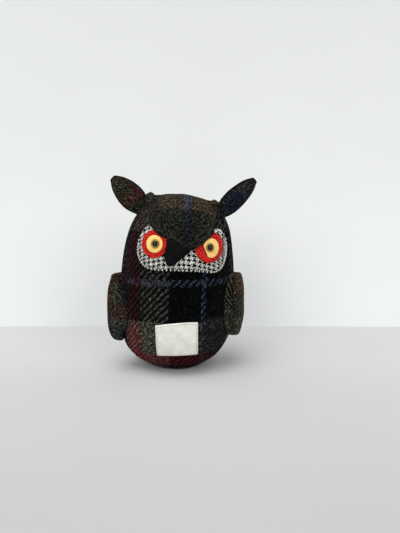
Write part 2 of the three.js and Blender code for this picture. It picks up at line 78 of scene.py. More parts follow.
HALF_WIDTH = BODY_WIDTH / 2
CROWN_HEIGHT = BODY_HEIGHT - WIDEST_HEIGHT
DEPTH_SHARE = BODY_DEPTH / BODY_WIDTH
FOOT_SHARE = (1 - (STAND_RADIUS / HALF_WIDTH) ** BELLY_ROUNDNESS) ** (1 / BELLY_ROUNDNESS)
SPINE_HEIGHT = 70

# Heights of the face's layers above the tweed
MASK_LAYER = (0.2, 1.3)
WOOL_LAYER = (1.4, 2.6)
FELT_LAYER = (2.7, 3.9)
FLAP_LAYER = (0.3, 2.9)
LABEL_LAYER = (0.25, 0.95)
BEAK_SEAT, BEAK_RISE = 1.4, 4.9

# Face outlines, as shares of the body's width (from its leaning centre line) and height
MASK_SHARES = [
    (-0.226, 0.829), (-0.291, 0.784), (-0.315, 0.726), (-0.305, 0.670), (-0.247, 0.614),
    (-0.150, 0.596), (0, 0.594), (0.165, 0.588), (0.290, 0.578), (0.362, 0.594),
    (0.402, 0.650), (0.408, 0.713), (0.385, 0.777), (0.330, 0.812), (0.240, 0.790),
    (0.120, 0.740), (0, 0.740), (-0.110, 0.790),
]
BROW_SHARES = [
    (-0.262, 0.962), (-0.245, 0.905), (-0.237, 0.868), (-0.211, 0.832),
    (-0.170, 0.803), (-0.128, 0.780), (-0.075, 0.760), (0.010, 0.712), (0.060, 0.694),
    (0.115, 0.700), (0.160, 0.712), (0.210, 0.742), (0.262, 0.772), (0.290, 0.800),
    (0.302, 0.835), (0.308, 0.868), (0.317, 0.905), (0.312, 0.950),
]
BEAK_SHARES = [
    (-0.070, 0.762), (-0.005, 0.755), (0.058, 0.735), (0.122, 0.712), (0.088, 0.680),
    (0.050, 0.657), (0.010, 0.636), (-0.035, 0.618), (-0.066, 0.628), (-0.084, 0.656),
    (-0.088, 0.692), (-0.078, 0.730),
]
LABEL_SHARES = [
    (-0.144, 0.299), (-0.061, 0.309), (0.022, 0.315), (0.105, 0.317), (0.188, 0.3145),
    (0.190, 0.123), (0.107, 0.122), (0.024, 0.121), (-0.059, 0.1185), (-0.142, 0.115),
]
BROW_BACK_TURN = math.radians(94.8)
ROLL_HEIGHTS = (5.2, 3.4)
ROLL_MIDDLE, ROLL_HALF_WIDTH, ROLL_ROUNDNESS = 2.8, 3.6, 2.6
ROLL_CREASE = 6.2
BROW_SEAM = 2.6

EYES = {
    "left": {
        "wool": (-0.172, 0.735), "patch": (22.2, 23.2), "felt": (-0.168, 0.735), "disc": (14.1, 14.4),
        "eye": (-0.1575, 0.7348),
    },
    "right": {
        "wool": (0.261, 0.718), "patch": (24.6, 26.4), "felt": (0.274, 0.712), "disc": (13.2, 16.2),
        "eye": (0.2595, 0.7145),
    },
}
# The right disc is cut straight at its lower left, where the wool below it is slit: the way that the cut
# faces, its distance from the disc's middle, and where the slit's painted shadow starts and ends
CUT_FACING = (-0.933, -0.36)
CUT_DISTANCE = 5.2
SLIT_ENDS = (-3.6, 6.8)
LENS_RADIUS = 3.9
LENS_HEIGHT = 2.5
LENS_SEAT = 4.1
PUPIL_RADIUS, PUPIL_HEIGHT = 2.15, 1.3
IRIS_RISE, PUPIL_RISE, LENS_RISE = 0.12, 0.3, 0.32

WING_WIDTH = 41
WING_OUTER, WING_INNER = 8, 16
WING_TOP_HEIGHT = 87
WINGS = {
    "left": {"length": 61.5, "seat": -71, "facing": -104, "stand_off": 0, "tucked": 0.58, "pressed": 0},
    "right": {"length": 57, "seat": 75, "facing": 75, "stand_off": 0.4, "tucked": 0.1, "pressed": 0.09},
}
WING_WIDTH_RUN = (0.56, 0.52, 2.3)
WING_THICKNESS_RUN = (0.7, 0.35, 3.2)
WING_FULLNESS = 2.6
WING_SEAM_TURN = 9
WING_PRESSURE, WING_SWELL = 3, 1.4
WING_ROOT = 3.6
WING_STAND_OFF = 2.1
WING_PUCKER = 4.6

EAR_WIDTH = 24.4
EAR_LAYER = 2.1
EAR_BURIED = 4
EAR_RIM = 2.1
EAR_SEAM = 0.9
EAR_ROOT = 5
EAR_PUCKER = 2.6
EAR_WIDTH_RUN = (0.52, 0.43, 1.74)
EAR_THICKNESS_RUN = (0.9, 0.3, 4)
EARS = {
    "left": {"length": 38.3, "across": -0.327, "spread": -1, "rise": 45.5, "twist": 0, "end": (0.42, 3.2)},
    "right": {"length": 42, "across": 0.356, "spread": 1, "rise": 43.5, "twist": 42, "end": (0.34, 5.5)},
}

# Stitches: length, gap between them and thread radius, and for the mask's whipped edge the spacing
# of its whips, how far outside the edge they start, and their length and thread radius
LABEL_STITCH = (1.7, 0.75, 0.21)
BROW_STITCH = (2.0, 1.0, 0.2)
EAR_STITCH = (1.9, 0.8, 0.2)
WHIP_SPACING, WHIP_START, WHIP_LENGTH, WHIP_RADIUS = 3.2, 0.5, 1.95, 0.52


# Small sums used throughout
def bell(value, reach):
    return np.exp(-(value / reach) ** 2)


def share(value):
    return np.clip(value, 0, 1)


def smooth_step(value):
    value = share(value)
    return value * value * (3 - 2 * value)


def unit(vectors):
    return vectors / np.linalg.norm(vectors, axis=1, keepdims=True)


# Distance along a line of points
def run_along(points):
    return np.concatenate([[0], np.cumsum(np.linalg.norm(np.diff(points, axis=0), axis=1))])


# The body's form
def radius_at(height):
    height = np.asarray(height, float)
    low = share((1 - height / WIDEST_HEIGHT) * FOOT_SHARE)
    high = share((height - WIDEST_HEIGHT) / CROWN_HEIGHT)
    belly = HALF_WIDTH * (1 - low ** BELLY_ROUNDNESS) ** (1 / BELLY_ROUNDNESS)
    crown = HALF_WIDTH * (1 - high ** CROWN_ROUNDNESS) ** (1 / CROWN_ROUNDNESS) * (1 - CROWN_TAPER * high)
    return np.where(height < WIDEST_HEIGHT, belly, crown)


def lean_at(height):
    return HEAD_LEAN * (np.asarray(height, float) / BODY_HEIGHT) ** 2


# Points of the body at angles round it from the front
def body_ring(angles, height, radius):
    x = lean_at(height) + radius * np.sin(angles)
    y = -radius * DEPTH_SHARE * np.cos(angles)
    return np.stack([x, y, np.full(len(x), height)], 1)


# Below zero inside the body, zero on its surface
def body_level(points):
    x, y, z = np.asarray(points, float).T
    ring = np.hypot(x - lean_at(z), y / DEPTH_SHARE) / HALF_WIDTH
    low = np.clip((1 - z / WIDEST_HEIGHT) * FOOT_SHARE, 0, None)
    high = np.clip((z - WIDEST_HEIGHT) / CROWN_HEIGHT, 0, None)
    crown = (ring / (1 - CROWN_TAPER * share(high))) ** CROWN_ROUNDNESS + high ** CROWN_ROUNDNESS - 1
    belly = ring ** BELLY_ROUNDNESS + low ** BELLY_ROUNDNESS - 1
    return np.where(z < WIDEST_HEIGHT, belly, crown)


def body_slope(points, step=0.02):
    points = np.asarray(points, float)
    shifts = np.eye(3) * step
    return np.stack([body_level(points + s) - body_level(points - s) for s in shifts], 1) / (2 * step)


def body_normal(points):
    return unit(body_slope(points))


# Moves points along the body's own slope until they lie on it
def settle(points):
    points = np.array(points, float)
    for _ in range(12):
        slope = body_slope(points)
        points -= slope * (body_level(points) / (slope ** 2).sum(1))[:, None]
    return points


# Point on the body at a distance across and a turn up from the front, seen from a spine along X
def on_body(across, turn):
    across, turn = np.broadcast_arrays(np.asarray(across, float), np.asarray(turn, float))

    def point_at(reach):
        return np.stack([across, -reach * np.cos(turn), SPINE_HEIGHT + reach * np.sin(turn)], -1)

    near, far = np.zeros(across.shape), np.full(across.shape, float(BODY_HEIGHT))
    for _ in range(40):
        middle = (near + far) / 2
        inside = body_level(point_at(middle).reshape(-1, 3)).reshape(across.shape) < 0
        near, far = np.where(inside, middle, near), np.where(inside, far, middle)
    return point_at(near)


def face_place(shares):
    shares = np.atleast_2d(shares)
    height = shares[:, 1] * BODY_HEIGHT
    return np.stack([lean_at(height) + shares[:, 0] * BODY_WIDTH, height], 1)


# Across distances and turns whose points, raised by rise, are seen from the front at these places
def seat_under(places, rise):
    places = np.asarray(places, float)
    aim = places.copy()
    for _ in range(25):
        across = aim[:, 0] - lean_at(aim[:, 1])
        depth = DEPTH_SHARE * np.sqrt(np.clip(radius_at(aim[:, 1]) ** 2 - across ** 2, 1, None))
        seat = np.stack([aim[:, 0], -depth, aim[:, 1]], 1)
        seen = seat + body_normal(seat) * rise
        aim -= 0.6 * (seen[:, [0, 2]] - places)
    return np.stack([aim[:, 0], np.arctan2(aim[:, 1] - SPINE_HEIGHT, depth)], 1)


TURN_TABLE = np.radians(np.linspace(-89, 130, 500))
UP_TABLE = run_along(on_body(0, TURN_TABLE))
UP_TABLE -= np.interp(0, TURN_TABLE, UP_TABLE)


def up_of(turn):
    return np.interp(turn, TURN_TABLE, UP_TABLE)


def turn_of(up):
    return np.interp(up, UP_TABLE, TURN_TABLE)


# Half outline of the body from its foot to its apex, with the distance along it
def body_outline():
    turns = np.linspace(-1, 1, 1601)
    foot_angle = math.asin(min(1, FOOT_SHARE ** (BELLY_ROUNDNESS / 2)))
    angle = np.where(turns < 0, -turns * foot_angle, turns * math.pi / 2)
    power = np.where(turns < 0, BELLY_ROUNDNESS, CROWN_ROUNDNESS)
    reach = np.sin(angle) ** (2 / power)
    below = WIDEST_HEIGHT - WIDEST_HEIGHT / FOOT_SHARE * reach
    height = np.where(turns < 0, below, WIDEST_HEIGHT + CROWN_HEIGHT * reach)
    radius = radius_at(height)
    radius[-1] = 0
    return height, radius, run_along(np.stack([height, radius], 1))


OUTLINE_HEIGHT, OUTLINE_RADIUS, OUTLINE_RUN = body_outline()
BELLY = slice(0, 600)
BASE_SEAM_RUN = float(np.interp(BASE_RADIUS, OUTLINE_RADIUS[BELLY], OUTLINE_RUN[BELLY]))


def run_at(height):
    return np.interp(height, OUTLINE_HEIGHT, OUTLINE_RUN)


def angle_of(points):
    return np.arctan2(points[:, 0] - lean_at(points[:, 2]), -points[:, 1] / DEPTH_SHARE)


def wrapped(angle):
    return (angle + math.pi) % FULL_TURN - math.pi


# Where a point of a body panel lies in its flat cloth: distance across from its middle, and up
def panel_cloth(points, middle_angle):
    across = radius_at(points[:, 2]) * wrapped(angle_of(points) - middle_angle)
    return np.stack([across, run_at(points[:, 2]) - run_at(WIDEST_HEIGHT)], 1)


def lumps(points, length, seed):
    shift = Vector((seed * 17.3, seed * -9.1, seed * 5.7))
    return np.array([noise.noise(Vector(p) / length + shift) for p in points])


def flat_lumps(flat, length, seed):
    return lumps(np.column_stack([flat, np.zeros(len(flat))]), length, seed)


# Making meshes
def add_piece(name, mesh):
    mesh.name = name
    piece = bpy.data.objects.new(name, mesh)
    bpy.context.scene.collection.objects.link(piece)
    return piece


def make_mesh(name, points, faces):
    mesh = bpy.data.meshes.new(name)
    faces = [[int(index) for index in face] for face in faces]
    mesh.from_pydata((np.asarray(points, float) * MM).tolist(), [], faces)
    return add_piece(name, mesh)


def read_points(piece):
    points = np.empty(len(piece.data.vertices) * 3)
    piece.data.vertices.foreach_get("co", points)
    return points.reshape(-1, 3) / MM


def write_points(piece, points):
    piece.data.vertices.foreach_set("co", (np.asarray(points) * MM).ravel())
    piece.data.update()


# Each corner's place in the flat cloth, in millimetres, for the weave to follow
def write_cloth(piece, cloth):
    layer = piece.data.uv_layers.new(name="cloth")
    corners = np.empty(len(piece.data.loops), int)
    piece.data.loops.foreach_get("vertex_index", corners)
    layer.data.foreach_set("uv", np.asarray(cloth, float)[corners].ravel())


# How much painted shade each point gets near a sewn seam or edge, kept as its 'edge' attribute for the
# cloth to darken there
def write_seam_shade(piece, nearness):
    layer = piece.data.attributes.new("edge", "FLOAT", "POINT")
    layer.data.foreach_set("value", np.asarray(nearness, float))


def only(piece):
    bpy.ops.object.select_all(action="DESELECT")
    piece.select_set(True)
    bpy.context.view_layer.objects.active = piece


# Opens a piece for editing, with all of it picked unless some is picked already
@contextmanager
def editing(piece, pick_all=True):
    only(piece)
    bpy.ops.object.mode_set(mode="EDIT")
    if pick_all:
        bpy.ops.mesh.select_all(action="SELECT")
    yield
    bpy.ops.object.mode_set(mode="OBJECT")


def face_outwards(piece):
    with editing(piece):
        bpy.ops.mesh.normals_make_consistent(inside=False)


def smooth(piece, angle=60):
    only(piece)
    bpy.ops.object.shade_smooth_by_angle(angle=math.radians(angle), keep_sharp_edges=False)


# A group of a piece's points, each with its own share
def weigh(piece, name, shares):
    group = piece.vertex_groups.new(name=name)
    for index, weight in enumerate(shares):
        group.add([index], float(weight), "REPLACE")


# Applies a piece's modifiers, after a new one with these settings
def modify(piece, kind=None, **settings):
    if kind:
        modifier = piece.modifiers.new(kind.lower(), kind)
        for name, value in settings.items():
            setattr(modifier, name, value)
    only(piece)
    for modifier in list(piece.modifiers):
        bpy.ops.object.modifier_apply(modifier=modifier.name)
    piece.vertex_groups.clear()


def subdivide(piece, levels):
    modify(piece, "SUBSURF", levels=levels, render_levels=levels)


# Smooths the points that have a share
def ease(piece, shares):
    weigh(piece, "eased", shares)
    modify(piece, "SMOOTH", iterations=10, vertex_group="eased")


def thicken(piece, thickness):
    thinned = {}
    if "wall" in piece.vertex_groups:
        thinned = {"vertex_group": "wall", "thickness_vertex_group": 0.1}
    modify(piece, "SOLIDIFY", thickness=thickness * MM, offset=-1, **thinned)


# A skin through rings of points, with a point at each end, its faces sorted into panels
def skin(name, rings, panel_of):
    starts = np.cumsum([0, *(len(ring) for ring in rings)])
    faces, panels = [], []
    for row, (low, high) in enumerate(zip(rings, rings[1:])):
        sides = max(len(low), len(high))
        a, b = starts[row], starts[row + 1]
        for i in range(sides):
            j = (i + 1) % sides
            if len(low) == 1:
                face = (a, b + j, b + i)
            elif len(high) == 1:
                face = (a + i, a + j, b)
            else:
                face = (a + i, a + j, b + j, b + i)
            faces.append(face)
            panels.append(panel_of(row, i))
    piece = make_mesh(name, np.vstack(rings), faces)
    piece.data.polygons.foreach_set("material_index", panels)
    for _ in range(max(panels) + 1):
        piece.data.materials.append(None)
    face_outwards(piece)
    return piece


# Parts a skin into one piece for each panel
def part_panels(piece, names):
    parts = []
    bpy.context.tool_settings.mesh_select_mode = (False, False, True)
    for index, name in enumerate(names):
        part = add_piece(name, piece.data.copy())
        for face in part.data.polygons:
            face.select = face.material_index != index
        with editing(part, pick_all=False):
            bpy.ops.mesh.delete(type="FACE")
        part.data.materials.clear()
        parts.append(part)
    bpy.data.objects.remove(piece)
    return parts


def surface_of(piece):
    return BVHTree.FromPolygons(
        [tuple(p) for p in read_points(piece)], [tuple(face.vertices) for face in piece.data.polygons],
    )


# Cutting cloth
def resample(outline, spacing):
    outline = np.asarray(outline, float)
    closed = np.vstack([outline, outline[:1]])
    run = run_along(closed)
    at = np.linspace(0, run[-1], max(12, int(round(run[-1] / spacing))), endpoint=False)
    return np.stack([np.interp(at, run, closed[:, 0]), np.interp(at, run, closed[:, 1])], 1)


# A smooth closed curve through an outline's points
def rounded(outline, steps=12):
    outline = np.asarray(outline, float)
    count = len(outline)
    curve = []
    for i in range(count):
        before, start, end, after = (outline[(i + k) % count] for k in (-1, 0, 1, 2))
        for step in range(steps):
            t = step / steps
            curve.append(0.5 * (
                2 * start + (end - before) * t
                + (2 * before - 5 * start + 4 * end - after) * t ** 2
                + (3 * start - before - 3 * end + after) * t ** 3
            ))
    return np.array(curve)


def edge_distance(points, outline):
    starts, ends = outline, np.roll(outline, -1, axis=0)
    along = ends - starts
    reach = ((points[:, None] - starts) * along).sum(2) / (along ** 2).sum(1)
    nearest = starts + share(reach)[..., None] * along
    return np.linalg.norm(points[:, None] - nearest, axis=2).min(1)


def inside_outline(points, outline):
    starts, ends = outline, np.roll(outline, -1, axis=0)
    x, y = points[:, :1], points[:, 1:]
    crosses = (starts[:, 1] > y) != (ends[:, 1] > y)
    rise = np.where(ends[:, 1] == starts[:, 1], 1e-9, ends[:, 1] - starts[:, 1])
    at = starts[:, 0] + (y - starts[:, 1]) * (ends[:, 0] - starts[:, 0]) / rise
    return (crosses & (x < at)).sum(1) % 2 == 1


def signed_distance(points, outline):
    return np.where(inside_outline(points, outline), 1, -1) * edge_distance(points, outline)


# Ways from each point of an outline straight into it
def inward_of(outline):
    along = np.roll(outline, -1, axis=0) - np.roll(outline, 1, axis=0)
    inward = unit(np.stack([-along[:, 1], along[:, 0]], 1))
    return inward if inside_outline(outline[:1] + inward[:1] * 0.2, outline)[0] else -inward


# Places along an outline, at a distance inside its edge
def inset(outline, by, spacing):
    outline = resample(outline, spacing)
    ring = outline + inward_of(outline) * by
    return ring[edge_distance(ring, outline) > by * 0.96] if by > 0 else ring


# Flat cloth cut to an outline: its points, the outline's first, and its triangles
def cut_cloth(outline, spacing, rims=(0.35, 0.9, 1.6)):
    outline = resample(outline, spacing * 0.8)
    inward = inward_of(outline)
    rows = [outline]
    for rim in rims:
        ring = outline + inward * rim
        fits = inside_outline(ring, outline) & (edge_distance(ring, outline) > rim * 0.93)
        rows.append(ring[fits])
    low, high = outline.min(0), outline.max(0)
    grid = np.array([
        (x + (k % 2) * spacing / 2, y)
        for k, y in enumerate(np.arange(low[1], high[1], spacing * 0.87))
        for x in np.arange(low[0], high[0], spacing)
    ])
    fits = inside_outline(grid, outline) & (edge_distance(grid, outline) > rims[-1] + spacing * 0.55)
    count = len(outline)
    loop = [(i, (i + 1) % count) for i in range(count)]
    flat, _, triangles, *_ = geometry.delaunay_2d_cdt(
        [Vector(p) for p in np.vstack([*rows, grid[fits]])], loop, [list(range(count))], 1, 1e-5,
    )
    return np.array([tuple(p) for p in flat]), triangles, count, outline


# A closed piece of cloth: the cut's points placed at their upper and lower heights
def lay_cloth(name, cut, place, upper, lower, cloth):
    flat, triangles, count, outline = cut
    distance = edge_distance(flat, outline)
    distance[:count] = 0
    total = len(flat)
    faces = [tuple(t) for t in triangles]
    faces += [tuple(i + total for i in reversed(t)) for t in triangles]
    faces += [(i, (i + 1) % count, (i + 1) % count + total, i + total) for i in range(count)]
    points = np.vstack([place(flat, height(flat, distance)) for height in (upper, lower)])
    piece = make_mesh(name, points, faces)
    write_cloth(piece, np.vstack([cloth, cloth]))
    face_outwards(piece)
    smooth(piece)
    return piece


# Height of a cloth's upper side: full inside, rounded off over reach at its edge
def rounded_edge(low, high, reach, edge_share=0.35):
    def height(flat, distance):
        run = share(distance / reach)
        return low + (high - low) * (edge_share + (1 - edge_share) * np.sqrt(1 - (1 - run) ** 2))
    return height


def level(value):
    def height(flat, distance):
        return np.full(len(flat), float(value))
    return height


# Colours and finishes
def shade(red, green, blue):
    def linear(value):
        value = value / 255
        return value / 12.92 if value <= 0.04045 else ((value + 0.055) / 1.055) ** 2.4
    return (linear(red), linear(green), linear(blue), 1)


# A value in a finish's node tree that is reckoned with like a number, each sum as a node of its own
class Value:
    def __init__(self, finish, socket):
        self.finish = finish
        self.socket = socket

    def __add__(self, other):
        return self.finish.calc("ADD", self, other)

    def __sub__(self, other):
        return self.finish.calc("SUBTRACT", self, other)

    def __rsub__(self, other):
        return self.finish.calc("SUBTRACT", other, self)

    def __mul__(self, other):
        return self.finish.calc("MULTIPLY", self, other)

    def __truediv__(self, other):
        return self.finish.calc("DIVIDE", self, other)

    def __mod__(self, other):
        return self.finish.calc("FLOORED_MODULO", self, other)

    def __abs__(self):
        return self.finish.calc("ABSOLUTE", self)

    def floor(self):
        return self.finish.calc("FLOOR", self)

    def fraction(self):
        return self.finish.calc("FRACT", self)

    def sine(self):
        return self.finish.calc("SINE", self)

    def span(self, low, high, to_low, to_high):
        return self.finish.result("MapRange", dict(enumerate((self, low, high, to_low, to_high))))


class Finish:
    def __init__(self, name, **shader_values):
        self.material = bpy.data.materials.new(name)
        self.material.use_nodes = True
        self.tree = self.material.node_tree
        self.tree.nodes.clear()
        self.shader = self.tree.nodes.new("ShaderNodeBsdfPrincipled")
        self.out = self.tree.nodes.new("ShaderNodeOutputMaterial").inputs[0]
        self.tree.links.new(self.shader.outputs[0], self.out)
        sockets = {socket.name.lower().replace(" ", "_"): socket for socket in self.shader.inputs}
        for name, value in shader_values.items():
            sockets[name].default_value = value

    def put(self, socket, value):
        if isinstance(value, Value):
            self.tree.links.new(value.socket, socket)
        else:
            socket.default_value = value

    # An output of a new node that gets these inputs and settings
    def result(self, kind, inputs, output=0, **settings):
        node = self.tree.nodes.new("ShaderNode" + kind)
        for name, value in settings.items():
            setattr(node, name, value)
        for key, value in inputs.items():
            self.put(node.inputs[key], value)
        return Value(self, node.outputs[output])

    def calc(self, operation, *values):
        return self.result("Math", dict(enumerate(values)), operation=operation)

    def blend(self, amount, first, second, kind="MIX"):
        inputs = {0: amount, 6: first, 7: second}
        return self.result("Mix", inputs, 2, data_type="RGBA", blend_type=kind)

    def join(self, x, y, z=0.0):
        return self.result("CombineXYZ", {0: x, 1: y, 2: z})

    def part(self, vector, axis):
        return self.result("SeparateXYZ", {0: vector}, axis)

    # Place in the flat cloth: across and up, in millimetres
    def cloth(self):
        place = self.result("UVMap", {}, uv_map="cloth")
        return self.part(place, 0), self.part(place, 1)

    # Place in the object, in millimetres
    def place(self):
        where = self.result("TexCoord", {}, "Object")
        return self.result("VectorMath", {0: where, "Scale": 1000.0}, operation="SCALE")

    def noise(self, vector, scale, detail=2.0, roughness=0.5):
        inputs = {"Vector": vector, "Scale": scale, "Detail": detail, "Roughness": roughness}
        return self.result("TexNoise", inputs)

    # A random number from 0 to 1 for each pair of whole numbers
    def chance(self, x, y):
        return self.result("TexWhiteNoise", {"Vector": self.join(x, y)}, noise_dimensions="2D")

    def reach(self, x, y):
        return self.calc("SQRT", x * x + y * y)

    def ramp(self, value, stops, interpolation="LINEAR"):
        result = self.result("ValToRGB", {0: value})
        scale = result.socket.node.color_ramp
        scale.interpolation = interpolation
        scale.elements[0].position, scale.elements[0].color = stops[0]
        scale.elements[1].position, scale.elements[1].color = stops[-1]
        for at, colour in stops[1:-1]:
            scale.elements.new(at).color = colour
        return result

    def tone(self, colour, factor):
        return self.blend(1.0, colour, self.join(factor, factor, factor), "MULTIPLY")

    def bump(self, height, distance):
        inputs = {"Strength": 1.0, "Distance": distance * MM, "Height": height}
        self.put(self.shader.inputs["Normal"], self.result("Bump", inputs))

    def colour(self, value):
        self.put(self.shader.inputs["Base Color"], value)


# Yarn colours across a cloth: each stop is where a stripe starts, in millimetres
def stripe_ramp(finish, at, stripes, sett):
    stops = sorted(((start / sett) % 1, colour) for start, colour in stripes)
    if stops[0][0] > 0:
        stops.insert(0, (0.0, stops[-1][1]))
    return finish.ramp((at / sett).fraction(), stops, "CONSTANT")


KEMP = shade(150, 146, 132)
TWILL = 4.0


# Woollen twill of two over and two under, in coloured yarns
def tweed(name, warp, weft, setts, pitch, mixed, relief=0.5, sway=1.3, kemp=0.3, fading=None, tinge=None):
    finish = Finish(name, roughness=0.95, sheen_weight=0.02, sheen_roughness=0.4, specular_ior_level=0.02)
    across, up = finish.cloth()
    flat = finish.join(across, up)
    u = (across + finish.noise(flat, 0.11).span(0, 1, -sway, sway)) / pitch
    v = (up + finish.noise(finish.join(up, across), 0.13).span(0, 1, -sway, sway)) / pitch
    column, row = u.floor(), v.floor()
    warp_shows = finish.calc("LESS_THAN", (column - row) % TWILL, 1.5)
    weft_shows = 1.0 - warp_shows

    # A yarn's height, from how far along its float and across it a place lies
    def crown(run, side):
        over = finish.calc("COSINE", (run - 2.0) * 1.35)
        return finish.calc("MAXIMUM", over, 0.0) * (side.fraction() * math.pi).sine()

    warp_height = crown((v - column + 2.0) % TWILL, u) * warp_shows
    weft_height = crown((u - row - 1.0) % TWILL, v) * weft_shows
    height = warp_height + weft_height
    weft_yarn = stripe_ramp(finish, row * pitch + pitch / 2, weft, setts[1])
    warp_yarn = stripe_ramp(finish, column * pitch + pitch / 2, warp, setts[0])
    hairs = finish.noise(flat, 1.4, 1.0).span(0.73, 0.76, 0, kemp)
    yarn = finish.blend(hairs, finish.blend(warp_shows, weft_yarn, warp_yarn), KEMP)
    if tinge:
        yarn = tinge(finish, across, up, yarn)
    own_tone = finish.chance(column * warp_shows, row * weft_shows)
    tone = own_tone.span(0, 1, 1 - 0.15 * mixed, 1 + 0.15 * mixed)
    tone *= finish.chance(column, row).span(0, 1, 1 - 0.55 * mixed, 1 + 0.6 * mixed)
    tone *= finish.noise(flat, 0.42, 3.0, 0.75).span(0.4, 0.6, 1 - 0.8 * mixed, 1 + 0.95 * mixed)
    tone *= finish.noise(flat, 0.045).span(0.3, 0.7, 0.88, 1.12)
    # Painted shade between the yarns and painted light on their crowns, by each yarn's height
    tone *= height.span(0, 0.9, 1 - relief, 1 + relief * 0.7)
    # Painted shade along seams and edges, from each point's edge attribute
    tone *= finish.result("Attribute", {}, "Fac", attribute_name="edge").span(0, 1, 1, 0.25)
    # Painted light and shade that some tweeds get over larger areas
    if fading:
        tone *= fading(across, up)
    finish.colour(finish.tone(yarn, tone))
    finish.bump(height + finish.noise(flat, 6.0, 3.0, 0.7) * 0.6, 0.42)
    return finish.material


# Gives the yarn another colour where each value has passed from its start to its end
def recolour(finish, yarn, colour, amount, *limits):
    for value, start, end in limits:
        amount = value.span(start, end, 0, 1) * amount
    return finish.blend(amount, yarn, colour)


# Red yarn flecks the lower left of the body's cloth, and its lower right is greyer
def body_tinge(finish, across, up, yarn):
    flecks = finish.noise(finish.join(across, up), 0.5, 3.0).span(0.4, 0.6, 0.2, 0.55)
    yarn = recolour(finish, yarn, shade(84, 32, 33), flecks, (across, -26, -34), (up, -6, -16))
    return recolour(finish, yarn, shade(40, 42, 42), 0.75, (across, 22, 32), (up, 0, -6), (up, -38, -34))


# The lower left of the body's cloth is painted lighter as painted light, and its lower right darker as
# painted shade
def body_painted_shading(across, up):
    low = up.span(4, -14, 0, 1)
    return low * across.span(-2, -34, 0, 0.6) - low * across.span(8, 30, 0, 0.5) + 1.0


# The brow's crown end is brown only in its middle: its left corner is painted dark moss as painted shade,
# its right corner a duller brown, and the blue stripe is strongest in the middle
def brow_tinge_and_shade(finish, across, up, yarn):
    top = (up, 70, 75)
    # Painted shade at the crown end's left corner
    yarn = recolour(finish, yarn, shade(32, 33, 27), 0.9, top, (across, -9, -14))
    yarn = recolour(finish, yarn, shade(38, 34, 25), 0.8, top, (across, 25, 30))
    return recolour(finish, yarn, shade(48, 51, 64), 0.7, top, (across, 7, 8), (across, 15, 14))


# Painted shade: the brow is darker below its crown end, which gets more light
def brow_painted_shading(across, up):
    return up.span(66, 74, 0.84, 1)


# The left wing's inner cloth lies in the body's shade, and its brown edge stripe ends half way down
def wing_shade(across, up):
    return 1.0 - across.span(19, 14, 0, 0.55) * up.span(27, 33, 0, 1)


def strip_tinge(finish, across, up, yarn):
    return recolour(finish, yarn, shade(52, 54, 47), 0.85, (across, 14, 15), (up, 33, 29))


CHARCOAL = shade(46, 47, 42)
OLIVE = shade(50, 47, 34)
BROWN = shade(76, 64, 46)
BURGUNDY = shade(43, 14, 19)
CRIMSON = shade(78, 15, 22)
WINE = shade(60, 32, 30)
BLACK = shade(4, 6, 5)
NAVY = shade(41, 46, 62)
DULL_NAVY = shade(37, 40, 51)
PETROL = shade(25, 34, 44)
INDIGO = shade(24, 28, 46)
SLATE = shade(52, 57, 59)
RUST = shade(82, 52, 40)
DULL_RUST = shade(74, 50, 42)
DEEP_RUST = shade(68, 40, 36)
SAND = shade(76, 75, 60)
HAY = shade(62, 58, 47)
LICHEN = shade(60, 60, 50)
MOSS = shade(46, 48, 40)
DARK_MOSS = shade(31, 33, 28)
LOW_OLIVE = shade(58, 56, 45)
BROW_MOSS = shade(36, 38, 31)
BROW_OLIVE = shade(40, 37, 26)
BROW_INDIGO = shade(22, 24, 39)
BROW_BROWN = shade(68, 54, 38)
ECRU = shade(226, 225, 216)
INK = shade(4, 5, 6)

